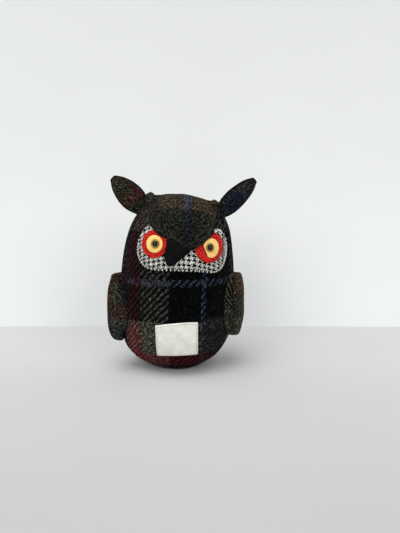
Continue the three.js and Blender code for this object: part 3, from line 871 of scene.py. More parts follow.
# Each tweed: the warp's and the weft's stripes and where they start, how far each repeats, the
# yarns' pitch, how mixed their colours are, and what else it has
TWEEDS = {
    "body_tweed": (
        [
            (-74, CHARCOAL), (-66, BURGUNDY), (-31, CHARCOAL), (-5, BLACK), (21.5, NAVY), (27.5, BLACK),
            (56, CHARCOAL),
        ],
        [
            (-60, BLACK), (-53, CRIMSON), (-36, LOW_OLIVE), (-5.5, BLACK), (26, DULL_NAVY), (30.6, BLACK),
            (72, CHARCOAL), (99, MOSS), (104, BLACK),
        ],
        (147, 210), 1.5, 1.0, {"fading": body_painted_shading, "tinge": body_tinge},
    ),
    "brow_tweed": (
        [
            (-40, DARK_MOSS), (-14, BROW_MOSS), (7, BROW_INDIGO), (13.5, DARK_MOSS), (20, BROW_OLIVE),
            (31, WINE), (34.5, DARK_MOSS),
        ],
        [(-60, DARK_MOSS), (73, BROW_BROWN), (101, DARK_MOSS)],
        (170, 170), 0.9, 1.15, {"fading": brow_painted_shading, "tinge": brow_tinge_and_shade},
    ),
    "left_wing_outer_tweed": (
        [(-30, MOSS), (15, RUST)],
        [(-20, SLATE), (10, MOSS), (31, RUST), (60, BROWN)],
        (130, 130), 0.9, 1.2, {"tinge": strip_tinge},
    ),
    "left_wing_inner_tweed": (
        [(-40, DARK_MOSS), (4, INDIGO), (13, MOSS)],
        [(-20, SLATE), (10, LICHEN), (19, WINE), (34, MOSS), (51, DEEP_RUST)],
        (130, 130), 0.9, 1.2, {"fading": wing_shade},
    ),
    "right_wing_outer_tweed": (
        [(-30, DARK_MOSS), (-12, OLIVE), (-4, BROWN), (6, MOSS)],
        [(-20, SAND), (21, MOSS), (43, DULL_RUST)],
        (130, 130), 0.9, 1.2, {},
    ),
    "right_wing_inner_tweed": (
        [(-30, HAY), (-8, DARK_MOSS)],
        [(-20, OLIVE), (17, PETROL), (30, BLACK), (56, MOSS)],
        (130, 130), 0.9, 1.2, {},
    ),
    "left_ear_tweed": (
        [(-20, WINE), (-5, OLIVE), (9, DARK_MOSS)],
        [(-20, DARK_MOSS), (12, WINE), (22, DARK_MOSS)],
        (90, 90), 0.85, 1.15, {},
    ),
    "right_ear_tweed": (
        [(-20, DARK_MOSS), (-4, INDIGO), (5, CHARCOAL)],
        [(-20, CHARCOAL), (10, INDIGO), (28, CHARCOAL)],
        (90, 90), 0.85, 1.15, {},
    ),
    "houndstooth": (
        [(0, ECRU), (2, INK)], [(0, ECRU), (2, INK)],
        (4, 4), 0.5, 0.38, {"relief": 0.35, "sway": 1.4, "kemp": 0},
    ),
}
tweeds = {name: tweed(name, *sizes, **extras) for name, (*sizes, extras) in TWEEDS.items()}


# Pressed wool or felt with short loose fibres
def felt(name, colour, dark, roughness=0.95, grain=1.0, fuzz=0.3, shine=0.15):
    finish = Finish(
        name, roughness=roughness, sheen_weight=fuzz, sheen_roughness=0.5, specular_ior_level=shine,
    )
    where = finish.place()
    tone = finish.noise(where, 0.22, 3.0, 0.6) * 0.4 + finish.noise(where, 1.1, 5.0, 0.72) * 0.6
    finish.colour(finish.blend(tone.span(0.3, 0.68, 0, 1), dark, colour))
    finish.bump(finish.noise(where, 3.2, 6.0, 0.75), 0.3 * grain)
    return finish.material


yellow_felt = felt("yellow_felt", shade(255, 222, 134), shade(238, 190, 98))
black_felt = felt(
    "black_felt", shade(19, 21, 21), shade(4, 5, 5), roughness=0.92, grain=2.2, fuzz=0.0, shine=0.06,
)


# A painted shadow: the dark line where the wool is slit along the disc's cut
def slit_shadow_share(across, up):
    face_x, face_y = CUT_FACING
    start, end = SLIT_ENDS
    out = across * face_x + up * face_y
    run = across * -face_y - up * -face_x
    between = run.span(start, start + 1, 0, 1) * run.span(end - 1, end, 1, 0)
    return between * abs(out - (CUT_DISTANCE + 0.5)).span(0.45, 0.75, 1, 0)


# Red wool worked round the eye in rings of short blocks
def blocked_wool(name, slit_shadow, blocks=28, ring=2.5):
    finish = Finish(name, roughness=0.92, sheen_weight=0.1, sheen_roughness=0.4, specular_ior_level=0.1)
    across, up = finish.cloth()
    flat = finish.join(across, up)
    rings = (finish.reach(across, up) + finish.noise(flat, 0.5).span(0, 1, -0.4, 0.4)) / ring
    turn = finish.calc("ARCTAN2", up, across) * (blocks / FULL_TURN)
    shifted = rings.floor() * 0.5 + turn
    block = abs((shifted * math.pi).sine()) * abs((rings * math.pi).sine())
    # Painted shade in the gaps between the blocks, lighter on the blocks themselves
    base = finish.blend(block.span(0.12, 0.5, 0, 1), shade(116, 15, 16), shade(228, 44, 34))
    fibres = finish.noise(flat, 3.5, 4.0, 0.7)
    own_tone = finish.chance(shifted.floor(), rings.floor()).span(0, 1, 0.85, 1.12)
    colour = finish.tone(base, own_tone * fibres.span(0.3, 0.7, 0.82, 1.15))
    # Painted shadow in the slit beside the disc's cut
    if slit_shadow:
        colour = finish.blend(slit_shadow_share(across, up), colour, shade(26, 6, 6))
    finish.colour(colour)
    finish.bump(fibres * 0.3 + block, 0.5)
    return finish.material


red_wools = {"left": blocked_wool("red_wool", False), "right": blocked_wool("slit_red_wool", True)}


# Plain cotton tape, close woven, a little crumpled
def cotton(name, colour, dark, pitch=0.3):
    finish = Finish(name, roughness=0.85, sheen_weight=0.08, specular_ior_level=0.2)
    across, up = finish.cloth()
    flat = finish.join(across, up)
    weave = (across * (math.pi / pitch)).sine() * (up * (math.pi / pitch)).sine()
    clean = finish.noise(flat, 0.12, 4.0, 0.6).span(0.3, 0.75, 1.0, 0.3)
    finish.colour(finish.blend(weave * 0.12 + clean, dark, colour))
    finish.bump(weave * 0.3 + finish.noise(flat, 2.0, 3.0), 0.12)
    return finish.material


label_cotton = cotton("label_cotton", shade(238, 236, 228), shade(202, 200, 190))


# A finish of one colour in uneven tones, by the place in the object
def mottled(name, colour, spots, tones, grain=None, **shader_values):
    finish = Finish(name, **shader_values)
    where = finish.place()
    finish.colour(finish.tone(colour, finish.noise(where, *spots).span(0.3, 0.7, *tones)))
    if grain:
        scale, detail, distance = grain
        finish.bump(finish.noise(where, scale, detail), distance)
    return finish.material


def thread(name, colour):
    return mottled(name, colour, (2.5, 3.0), (0.7, 1.25), (5.0, 2.0, 0.05), roughness=0.7, sheen_weight=0.2)


dark_thread = thread("dark_thread", shade(26, 27, 24))
grey_thread = thread("grey_thread", shade(74, 76, 70))
white_thread = thread("white_thread", shade(146, 146, 138))
ecru_thread = thread("ecru_thread", shade(226, 226, 218))


# Moulded plastic
def glossy(name, colour, roughness, shine):
    return mottled(
        name, colour, (0.6, 3.0), (0.85, 1.15), (1.5, 2.0, 0.01),
        roughness=roughness, specular_ior_level=shine, ior=1.49,
    )


pupil_black = glossy("pupil_black", shade(4, 4, 4), 0.22, 0.16)
washer_plastic = glossy("washer_plastic", shade(226, 226, 220), 0.45, 0.5)
clear_plastic = mottled(
    "clear_plastic", shade(255, 246, 214), (0.5,), (0.97, 1.0),
    roughness=0.04, transmission_weight=1.0, ior=1.25,
)
calico = mottled("calico", shade(214, 200, 168), (1.5, 4.0), (0.85, 1.1), (3.0, 2.0, 0.2), roughness=0.9)


# The brown iris painted behind the clear dome, with fine rays
def painted_ring():
    finish = Finish("painted_ring", roughness=0.35)
    across, up = finish.cloth()
    reach = finish.reach(across, up)
    base = finish.ramp(reach / LENS_RADIUS, [
        (0.0, shade(30, 20, 8)), (0.52, shade(44, 32, 16)), (0.64, shade(140, 110, 62)),
        (0.8, shade(186, 148, 80)), (0.9, shade(150, 112, 56)), (1.0, shade(84, 60, 28)),
    ])
    rays = finish.noise(finish.join(finish.calc("ARCTAN2", up, across), reach * 0.2), 9.0, 3.0)
    finish.colour(finish.tone(base, rays.span(0.3, 0.7, 0.8, 1.2)))
    return finish.material


def granules():
    finish = Finish("pellets", roughness=0.4)
    away = finish.result("TexVoronoi", {"Vector": finish.place(), "Scale": 0.33}, "Distance", feature="F1")
    # Painted shade between the pellets, lighter at each pellet's middle
    finish.colour(finish.blend(away, shade(236, 236, 230), shade(120, 120, 114)))
    finish.bump(1.0 - away, 1.0)
    return finish.material


# Gives a padded piece its finish and hides the imported nodes that it stands in for
def pad(piece, material, slot, fill, *replaced):
    piece.data.materials.append(material)
    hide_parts(*replaced)


# The stuffing presses a sewn skin outwards and its seams hold it in; no point moves further than cap
def stuff(piece, held, pressure, cap, steps=20, larger=10):
    start = read_points(piece)
    write_points(piece, start * larger)
    weigh(piece, "seams", held)
    modifier = piece.modifiers.new("stuffing", "CLOTH")
    cloth = modifier.settings
    cloth.vertex_group_mass = "seams"
    cloth.use_pressure = True
    cloth.uniform_pressure_force = pressure
    cloth.effector_weights.gravity = 0
    cloth.tension_stiffness = 25
    cloth.compression_stiffness = 25
    cloth.shear_stiffness = 8
    cloth.bending_stiffness = 1.5
    for step in range(1, steps + 1):
        bpy.context.scene.frame_set(step)
    modify(piece)
    bpy.context.scene.frame_set(1)
    move = read_points(piece) / larger - start
    far = np.linalg.norm(move, axis=1)
    print(f"stuffed {piece.name}: moved {far.mean():.2f} mm on average, {far.max():.2f} at most")
    write_points(piece, start + move * np.minimum(1, cap / np.maximum(far, 1e-9))[:, None])


# Columns from one seam to the next, closer together near the seams
def spread_columns(start, end, near=(0, 1.1, 2.6, 5.0), step=6.2):
    room = end - start - 2 * near[-1]
    inner = np.linspace(start + near[-1], end - near[-1], max(2, round(room / step)) + 1)
    return [start + a for a in near[:-1]] + list(inner) + [end - a for a in reversed(near[1:-1])]


# The body: a front gore, two back gores and a base, sewn and stuffed
PANELS = {
    "front_panel": (-SIDE_SEAM, SIDE_SEAM, 0),
    "right_back_panel": (SIDE_SEAM, 180, (SIDE_SEAM + 180) / 2),
    "left_back_panel": (180, 360 - SIDE_SEAM, -(SIDE_SEAM + 180) / 2),
}
PANEL_NAMES = [*PANELS, "base_panel"]
CLOTH_SHIFTS = {"front_panel": 0, "right_back_panel": 40, "left_back_panel": 124}


def body_skin():
    angles, panels = [], []
    for index, (first, last, _) in enumerate(PANELS.values()):
        columns = spread_columns(first, last)
        angles += columns
        panels += [index] * len(columns)
    angles = np.radians(angles)
    near_seam = [BASE_SEAM_RUN + run for run in (-2.5, -1, 0, 1, 2.6)]
    runs = [0, 3, *near_seam, *np.linspace(BASE_SEAM_RUN + 5.5, OUTLINE_RUN[-1] - 2.5, BODY_ROWS)]
    rings = [np.zeros((1, 3)), *(body_ring(angles, 0.0, radius) for radius in (6, 12, 17))]
    heights = np.interp(runs, OUTLINE_RUN, OUTLINE_HEIGHT)
    radii = np.interp(runs, OUTLINE_RUN, OUTLINE_RADIUS)
    rings += [body_ring(angles, height, radius) for height, radius in zip(heights, radii)]
    rings.append(np.array([[float(lean_at(BODY_HEIGHT)), 0.0, BODY_HEIGHT]]))
    base_rows = 4 + runs.index(BASE_SEAM_RUN)
    return skin("stuffed_body", rings, lambda row, column: 3 if row < base_rows else panels[column])


def seam_distances(points):
    angle, run = angle_of(points), run_at(points[:, 2])
    across = radius_at(points[:, 2])
    above = run > BASE_SEAM_RUN
    sides = [np.abs(wrapped(angle - math.radians(a))) * across for a in (-SIDE_SEAM, SIDE_SEAM, 180)]
    sides = [np.where(above, side, np.hypot(side, BASE_SEAM_RUN - run)) for side in sides]
    flat_base = (points[:, 2] < 0.5) & (np.hypot(points[:, 0], points[:, 1]) < STAND_RADIUS)
    base = np.where(flat_base, 30, np.abs(run - BASE_SEAM_RUN))
    return sides, base, angle * across, run


# How far a seam and the puckers beside it draw the cloth in
def seam_dip(points):
    sides, base, around, run = seam_distances(points)
    dip = np.zeros(len(points))
    for side, along in [*((side, run) for side in sides), (base, around)]:
        pucker = np.sin(FULL_TURN * along / PUCKER_LENGTH + 1.3 * np.sin(along / 7.7))
        drawn = 0.26 * (pucker + 0.4) * bell(side, 5.5)
        dip = np.maximum(dip, SEAM_DEPTH * bell(side, SEAM_REACH) + drawn)
    return dip


# The stuffed form before its seams are drawn in: lumpy, slumped at one shoulder, fuller at one side
def settle_stuffing(points):
    normals = body_normal(np.where(points[:, 2:] < 0.3, points + [0, 0, 0.3], points))
    low = points[:, 2] < 0.4
    normals[low] = (0, 0, -1)
    grown = (lumps(points, LUMP_LENGTH, 1) * 1.6 + lumps(points, 9, 2) * 0.35) * LUMP_HEIGHT
    grown[low] = np.minimum(grown[low], 0) * 0.4
    points = points + normals * grown[:, None]
    full_side = smooth_step((-points[:, 0] - 18) / 16) * smooth_step((31 - points[:, 2]) / 10)
    points[:, 0] -= LOW_BULGE * full_side * smooth_step(points[:, 2] / 8)
    slumped = smooth_step((points[:, 0] - 2) / 24) * smooth_step((points[:, 2] - 134) / 20)
    points[:, 2] = np.maximum(points[:, 2] - SHOULDER_SLUMP * slumped, 0)
    return points, normals


# Where a panel's points lie in the body's cloth
def body_cloth(name, points):
    if name != "base_panel":
        return panel_cloth(points, math.radians(PANELS[name][2])) + (CLOTH_SHIFTS[name], 0)
    turn = angle_of(points + [0, 0, 0.01])
    radius = np.hypot(points[:, 0], points[:, 1])
    reach = np.where(points[:, 2] < 0.6, radius, STAND_RADIUS + run_at(points[:, 2]))
    return np.stack([reach * np.sin(turn), -reach * np.cos(turn) + 9], 1)


stuffed_body = body_skin()
points = read_points(stuffed_body)
sides, base, _, _ = seam_distances(points)
stuff(
    stuffed_body, (np.minimum.reduce([*sides, base]) < 0.25) | (points[:, 2] < 0.01),
    BODY_PRESSURE, BODY_SWELL,
)
subdivide(stuffed_body, 2)
points, normals = settle_stuffing(read_points(stuffed_body))
write_points(stuffed_body, points)
cover = surface_of(stuffed_body)
dip = seam_dip(points)
points -= normals * dip[:, None]
points[:, 2] = np.maximum(points[:, 2], 0)
write_points(stuffed_body, points)
# Painted shade in the dips of the seams
write_seam_shade(stuffed_body, share(dip / SEAM_DEPTH) * 0.45)
for piece, name in zip(part_panels(stuffed_body, [f"{name}_cloth" for name in PANEL_NAMES]), PANEL_NAMES):
    write_cloth(piece, body_cloth(name, read_points(piece)))
    thicken(piece, TWEED_THICKNESS)
    smooth(piece, 70)
    stood_for = [name, "body_stuffing"] if name == "front_panel" else [name]
    pad(piece, tweeds["body_tweed"], "body_tweed", 0.95, *stood_for)
    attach(piece, "body")


# How far the stuffed tweed stands out from the body's form
def lift_at(places, outward, above=6.0):
    lift = np.zeros(len(places))
    for i, (place, away) in enumerate(zip(places, outward)):
        hit, _, _, far = cover.ray_cast(Vector(place + away * above), Vector(-away), 14)
        if hit is not None:
            lift[i] = above - far
    return lift


# Cloth laid on the front of the body
def front_seat(flat):
    seat = on_body(flat[:, 0], turn_of(flat[:, 1]))
    return seat, body_normal(seat)


def front_place(flat, height):
    seat, outward = front_seat(flat)
    return seat + outward * (lift_at(seat, outward) + height)[:, None]


# Where the points of a laid cloth lie on the front, across and up
def front_places(piece):
    points = read_points(piece)
    return np.stack([points[:, 0], up_of(np.arctan2(points[:, 2] - SPINE_HEIGHT, -points[:, 1]))], 1)


def seated_outline(places, rise):
    seat = seat_under(places, rise)
    return np.stack([seat[:, 0], up_of(seat[:, 1])], 1)


def oval(centre_share, wide, tall, count=72):
    centre = face_place(centre_share)[0]
    turn = np.linspace(0, FULL_TURN, count, endpoint=False)
    return centre + np.stack([wide / 2 * np.cos(turn), tall / 2 * np.sin(turn)], 1)


def laid_sheet(
    name, outline, spacing, layer, material, replaced, wrinkle, reach=0.9, middle=(0, 0),
):
    cut = cut_cloth(outline, spacing)
    flat, triangles = cut[:2]
    top = rounded_edge(*layer, reach)

    def upper(flat, distance):
        return top(flat, distance) + wrinkle * flat_lumps(flat, 7, 5) * share(distance / 3)

    piece = lay_cloth(name, cut, front_place, upper, level(layer[0]), flat - middle)
    piece.data.materials.append(material)
    wide, tall = (float(size) * MM for size in flat.max(0) - flat.min(0))
    corners = [Vector((*p, 0)) for p in flat]
    area = sum(geometry.area_tri(*(corners[i] for i in t)) for t in triangles) * MM * MM
    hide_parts(replaced)
    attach(piece, "body")
    return piece


mask_outline = seated_outline(face_place(rounded(MASK_SHARES)), MASK_LAYER[1])
face_mask = laid_sheet(
    "face_mask_cloth", mask_outline, 2.0, MASK_LAYER, tweeds["houndstooth"], "face_mask",
    wrinkle=0.12, middle=(-2.4, 0),
)
# Painted shade along the mask's edge
write_seam_shade(face_mask, 0.8 * bell(edge_distance(front_places(face_mask), mask_outline), 0.8))
disc_outlines = []
for side, eye in EYES.items():
    wool_outline = seated_outline(oval(eye["wool"], *eye["patch"]), WOOL_LAYER[1])
    laid_sheet(
        f"{side}_wool_ring", wool_outline, 1.5, WOOL_LAYER, red_wools[side],
        f"{side}_wool_patch", wrinkle=0.12,
        middle=seated_outline(face_place(eye["felt"]), FELT_LAYER[1])[0],
    )
    disc_edge = oval(eye["felt"], *eye["disc"])
    if side == "right":
        past_cut = (disc_edge - face_place(eye["felt"])) @ CUT_FACING - CUT_DISTANCE
        disc_edge -= np.outer(np.clip(past_cut, 0, None), CUT_FACING)
    felt_outline = seated_outline(disc_edge, FELT_LAYER[1])
    laid_sheet(
        f"{side}_yellow_disc", felt_outline, 1.3, FELT_LAYER, yellow_felt,
        f"{side}_felt_disc", wrinkle=0.08, reach=0.7,
    )
    disc_outlines.append((wool_outline, felt_outline))
label_outline = seated_outline(face_place(resample(LABEL_SHARES, 0.01)), LABEL_LAYER[1])
label = laid_sheet(
    "cloth_label_tape", label_outline, 1.6, LABEL_LAYER, label_cotton, "cloth_label",
    wrinkle=0.15, reach=0.4,
)


# The brow flap: thick tweed over the crown that dips between the eyes
brow_front = seated_outline(face_place(BROW_SHARES[1:-1]), FLAP_LAYER[1])
brow_left, brow_right = (seat_under(face_place(BROW_SHARES[k]), 0)[0][0] for k in (0, -1))
brow_middle = (brow_left + brow_right) / 2
brow_back = float(up_of(BROW_BACK_TURN))
brow_outline = rounded([
    (brow_left, brow_back), (brow_left - 0.5, brow_back - 12), *brow_front,
    (brow_right + 0.5, brow_back - 12), (brow_right, brow_back), (brow_middle, brow_back + 0.5),
], 8)


# The flap climbs over each cloth that lies under it
def under_brow(flat, distance):
    def climb(outline, height, run):
        return height * smooth_step(signed_distance(flat, outline) / run + 0.7)

    rise = FLAP_LAYER[0] + climb(mask_outline, 1.1, 3)
    for wool_outline, felt_outline in disc_outlines:
        rise = rise + climb(wool_outline, 1.2, 3)
        rise = rise + climb(felt_outline, 1.2, 2.5)
    return rise


# Beside each ear the flap's edge is rolled over itself, with a crease along the roll
def rolled_corner(flat, distance):
    across, up = flat.T
    at_side = smooth_step((np.abs(across - brow_middle) - 19) / 6)
    on_crown = smooth_step((up - 86) / 7) * smooth_step((brow_back - 2 - up) / 5)
    off_middle = np.abs((distance - ROLL_MIDDLE) / ROLL_HALF_WIDTH)
    roll = share(1 - off_middle ** ROLL_ROUNDNESS) ** (1 / ROLL_ROUNDNESS)
    tall = np.where(across < brow_middle, *ROLL_HEIGHTS)
    return at_side * on_crown * (tall * roll - 0.9 * bell(distance - ROLL_CREASE, 0.9))


def over_brow(flat, distance):
    thick = rounded_edge(0, FLAP_LAYER[1] - FLAP_LAYER[0], 1.9, 0.4)(flat, distance)
    sewn = 0.35 * bell(distance - BROW_SEAM, 0.8)
    rise = thick + 0.45 * flat_lumps(flat, 8, 7) * share(distance / 4) - sewn
    return under_brow(flat, distance) + rise + rolled_corner(flat, distance)


# The flap's cloth bows a little, so that its stripes run level across the crown
def bowed(flat):
    return np.column_stack([flat[:, 0], flat[:, 1] - 0.008 * (flat[:, 0] - 6) ** 2])


brow_cut = cut_cloth(brow_outline, 1.6)
brow = lay_cloth("brow_flap_cloth", brow_cut, front_place, over_brow, under_brow, bowed(brow_cut[0]))
pad(brow, tweeds["brow_tweed"], "brow_tweed", 0.3, "brow_flap")
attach(brow, "body")


# Stitches of thread: short beads that dip into the cloth at both ends. Each knot of a bead is its
# share of the stitch's length, its width and its rise, both as shares of the bead's radius
KNOTS = ((0, 0.5, -0.9), (0.14, 0.95, 0.1), (0.5, 1, 0.75), (0.86, 0.95, 0.1), (1, 0.5, -0.9))
BEAD_SIDES = 6


def stitches(name, spans, radius, finish, body):
    points, faces = [], []
    turns = [FULL_TURN * k / BEAD_SIDES for k in range(BEAD_SIDES)]
    for start, end, outward in spans:
        along = (end - start) / np.linalg.norm(end - start)
        across = np.cross(along, outward)
        first = len(points)
        for reach, wide, rise in KNOTS:
            centre = start + (end - start) * reach + outward * rise * radius
            for turn in turns:
                out = across * math.cos(turn) + outward * math.sin(turn)
                points.append(centre + radius * wide * out)
        for row in range(first, first + (len(KNOTS) - 1) * BEAD_SIDES, BEAD_SIDES):
            for k in range(BEAD_SIDES):
                a, b = row + k, row + (k + 1) % BEAD_SIDES
                faces.append((a, b, b + BEAD_SIDES, a + BEAD_SIDES))
        faces += [tuple(range(i, i + BEAD_SIDES)) for i in (first, len(points) - BEAD_SIDES)]
    piece = make_mesh(name, points, faces)
    face_outwards(piece)
    smooth(piece)
    piece.data.materials.append(finish)
    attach(piece, body)


# A row of stitches along places that are dropped onto a cloth
def stitch_row(name, places, downward, cloth, finish, body, sizes):
    length, gap, radius = sizes
    seats, normals = [], []
    for place, away in zip(places, downward):
        away = Vector(away)
        hit, normal, _, _ = cloth.ray_cast(Vector(place), away, 30)
        if hit is not None:
            seats.append(tuple(hit))
            normals.append(tuple(normal if normal.dot(away) < 0 else -normal))
    seats, normals = np.array(seats), np.array(normals)
    run = run_along(seats)

    def at(distance, values):
        return np.array([np.interp(distance, run, values[:, k]) for k in range(3)])

    spans = []
    for start in np.arange(0.3, run[-1] - length, length + gap):
        outward = at(start + length / 2, normals)
        spans.append((at(start, seats), at(start + length, seats), outward / np.linalg.norm(outward)))
    stitches(name, spans, radius, finish, body)


# Wings and ears: two leaf-shaped cloths sewn edge to edge and turned. A leaf's axes are its width,
# its thickness and its length, as the columns of a turn, with its root as the origin
def leaf_share(along, root, fullest, tip, blunt=0.0, corner=7.0):
    along = np.asarray(along, float)
    rising = root + (1 - root) * np.sin(share(along / fullest) * math.pi / 2)
    run = share((along - fullest) / (1 - fullest))
    end = blunt * (1 - share((along - 0.8) / 0.2) ** corner) ** (1 / corner)
    return np.where(along < fullest, rising, np.maximum((1 - run ** tip) ** (1 / tip), end))


def leaf_rings(size, width_run, thickness_run, fullness, rows, columns):
    length, width, outer, inner = size
    turns = np.radians(columns)
    cosine, sine = np.cos(turns), np.sin(turns)
    wide = np.sign(cosine) * np.abs(cosine) ** (2 / fullness) * width / 2
    thick = np.sign(sine) * np.abs(sine) ** (2 / fullness) * np.where(sine < 0, inner, outer)

    def ring(half_wide, fill, along):
        return np.stack([wide * half_wide, thick * fill, np.full(len(turns), along * length)], 1)

    rings = [np.zeros((1, 3)), ring(0.55 * width_run[0], 0.55 * thickness_run[0], 0)]
    for row in range(rows):
        along = math.sin(row / rows * math.pi / 2)
        rings.append(ring(leaf_share(along, *width_run), leaf_share(along, *thickness_run), along))
    return [*rings, np.array([[0.0, 0.0, length]])]


def wing_frame(wing):
    facing = math.radians(wing["facing"])
    outward = np.array([math.sin(facing), -math.cos(facing), 0])
    seat = body_ring(np.radians([wing["seat"]]), WING_TOP_HEIGHT, radius_at(WING_TOP_HEIGHT))[0]
    turn = np.column_stack([(math.cos(facing), math.sin(facing), 0), outward, (0, 0, -1)])
    return turn, seat + outward * (WING_STAND_OFF + wing["stand_off"])


def ear_frame(ear):
    across = ear["across"] * BODY_WIDTH
    heights = np.linspace(BODY_HEIGHT, WIDEST_HEIGHT, 2000)
    height = float(np.interp(abs(across), radius_at(heights), heights))
    root = np.array([float(lean_at(height)) + across, 0, height])
    rise = math.radians(ear["rise"])
    tipward = np.array([ear["spread"] * math.cos(rise), 0, math.sin(rise)])
    twist = Matrix.Rotation(math.radians(ear["twist"]), 3, Vector(tipward))
    face = np.array(twist @ Vector((0, -1, 0)))
    return np.column_stack([np.cross(face, tipward), face, tipward]), root - tipward * EAR_BURIED


# Moves points out of the body until they clear it by gap
def push_clear(points, gap):
    points = points.copy()
    for _ in range(3):
        seat = settle(points)
        outward = body_normal(seat)
        short = ((points - seat) * outward).sum(1) < gap
        points[short] = seat[short] + outward[short] * gap
    return points


# Height of a wing's seam over its middle plane
def wing_seam(along):
    seam = WING_OUTER * math.sin(math.radians(WING_SEAM_TURN)) ** (2 / WING_FULLNESS)
    return seam * leaf_share(share(along), *WING_THICKNESS_RUN)


# Flat cloth of both halves: across is measured round the skin from the middle of each half, and up
# along the leaf from where the cloth is cut
def weave_leaf(piece, columns, halves, cut_up, up_sign):
    points = read_points(piece)
    count = len(columns)
    rings = points[1:-1].reshape(-1, count, 3)
    seam = halves.index(1)
    place = np.zeros((2, len(points), 2))
    for half, picks in enumerate((list(range(seam + 1)), list(range(seam, count)) + [0])):
        run = run_along(np.vstack([points[:1], rings[:, picks[len(picks) // 2]], points[-1:]]))
        up = cut_up + up_sign * (run - run[2])
        place[half, [0, -1], 1] = up[[0, -1]]
        for row, ring in enumerate(rings):
            along = run_along(ring[picks])
            index = 1 + row * count + np.array(picks)
            place[half, index, 0] = (along - along[-1] / 2) * (-1 if half == 0 else 1)
            place[half, index, 1] = up[row + 1]
    layer = piece.data.uv_layers.new(name="cloth")
    for face in piece.data.polygons:
        for corner in face.loop_indices:
            layer.data[corner].uv = place[face.material_index, piece.data.loops[corner].vertex_index]


def leaf(name, axes, size, runs, fullness, rows, press=None, seam_turn=0, cut_up=0, up_sign=1):
    turn, origin = axes
    columns = [
        *spread_columns(seam_turn, 180 - seam_turn, (0, 4, 9, 18), 18),
        *spread_columns(180 - seam_turn, 360 + seam_turn, (0, 4, 9, 18), 18),
    ]
    halves = [0 if column < 180 - seam_turn else 1 for column in columns]
    rings = [ring @ turn.T + origin for ring in leaf_rings(size, *runs, fullness, rows, columns)]
    piece = skin(name, rings, lambda row, column: halves[column])
    if press:
        press(piece, axes, size[0])
    weave_leaf(piece, columns, halves, cut_up, up_sign)
    subdivide(piece, 2)
    points = read_points(piece)
    return piece, points, (points - origin) @ turn


def finish_leaf(piece, names, thickness=1.2):
    parts = part_panels(piece, [f"{name}_cloth" for name in names])
    for part in parts:
        thicken(part, thickness)
        smooth(part, 70)
    return parts


# The wadding presses a wing's sewn skin outwards, clear of the body
def press_wing(piece, axes, length):
    turn, origin = axes
    points = read_points(piece)
    local = (points - origin) @ turn
    write_points(piece, push_clear(points, 0.5))
    ends = (local[:, 2] < 0.5) | (local[:, 2] > length - 2.5)
    at_seam = np.abs(local[:, 1] - wing_seam(local[:, 2] / length)) < 0.2
    stuff(piece, at_seam | ends, WING_PRESSURE, WING_SWELL)


for side, wing in WINGS.items():
    turn, origin = wing_frame(wing)
    length = wing["length"]
    piece, points, local = leaf(
        f"{side}_wing", (turn, origin), (length, WING_WIDTH, WING_OUTER, WING_INNER),
        (WING_WIDTH_RUN, WING_THICKNESS_RUN), WING_FULLNESS, 22, press_wing,
        seam_turn=WING_SEAM_TURN, cut_up=60, up_sign=-1,
    )
    down = local[:, 2]
    tucked = wing["tucked"] * smooth_step((down / length - 0.66) / 0.3)
    local[:, 1] *= 1 - np.where(local[:, 1] < 0, tucked, wing["pressed"])
    points = local @ turn.T + origin
    outward = points - (origin + np.outer(down, turn[:, 2]))
    outward /= np.maximum(np.linalg.norm(outward, axis=1, keepdims=True), 1e-6)
    from_seam = local[:, 1] - wing_seam(down / length)
    pucker = 1 + 0.35 * np.sin(FULL_TURN * down / WING_PUCKER)
    points = points - outward * (SEAM_DEPTH * bell(from_seam, 1.2) * pucker)[:, None]
    points += outward * (lumps(points, 13, 11) * 0.8)[:, None]
    write_points(piece, push_clear(points, 0.45))
    ease(piece, share(np.maximum((down - length + 5) / 4, (1.5 - down) / 1.5)))
    # Painted shade along the wing's seam
    write_seam_shade(piece, 0.5 * bell(from_seam, 1.3))
    weigh(piece, "wall", share((length - down) / 4))
    outer, inner = names = [f"{side}_wing_outer", f"{side}_wing_inner"]
    stood_for = {outer: [outer, f"{side}_wing_wadding"], inner: [inner]}
    top = origin * MM
    for part, name in zip(finish_leaf(piece, names), names):
        pad(part, tweeds[f"{name}_tweed"], "wing_tweed", 0.7, *stood_for[name])
        tuple(top - (0, 0, WING_ROOT * MM))
        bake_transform(part)


# The middle line of an ear's stitches, along the rim from root to tip and back
def ear_rim_line(length, width_run):
    rows = np.linspace(11, length - EAR_RIM - 0.4, 60)
    wide = leaf_share(rows / length, *width_run) * EAR_WIDTH / 2 - EAR_RIM
    tip = np.linspace(wide[-1], -wide[-1], 12)[1:-1]
    across = np.concatenate([wide, tip, -wide[::-1]])
    up = np.concatenate([rows, np.full(len(tip), rows[-1] + 0.3), rows[::-1]])
    return np.stack([across, np.zeros(len(across)), up], 1)


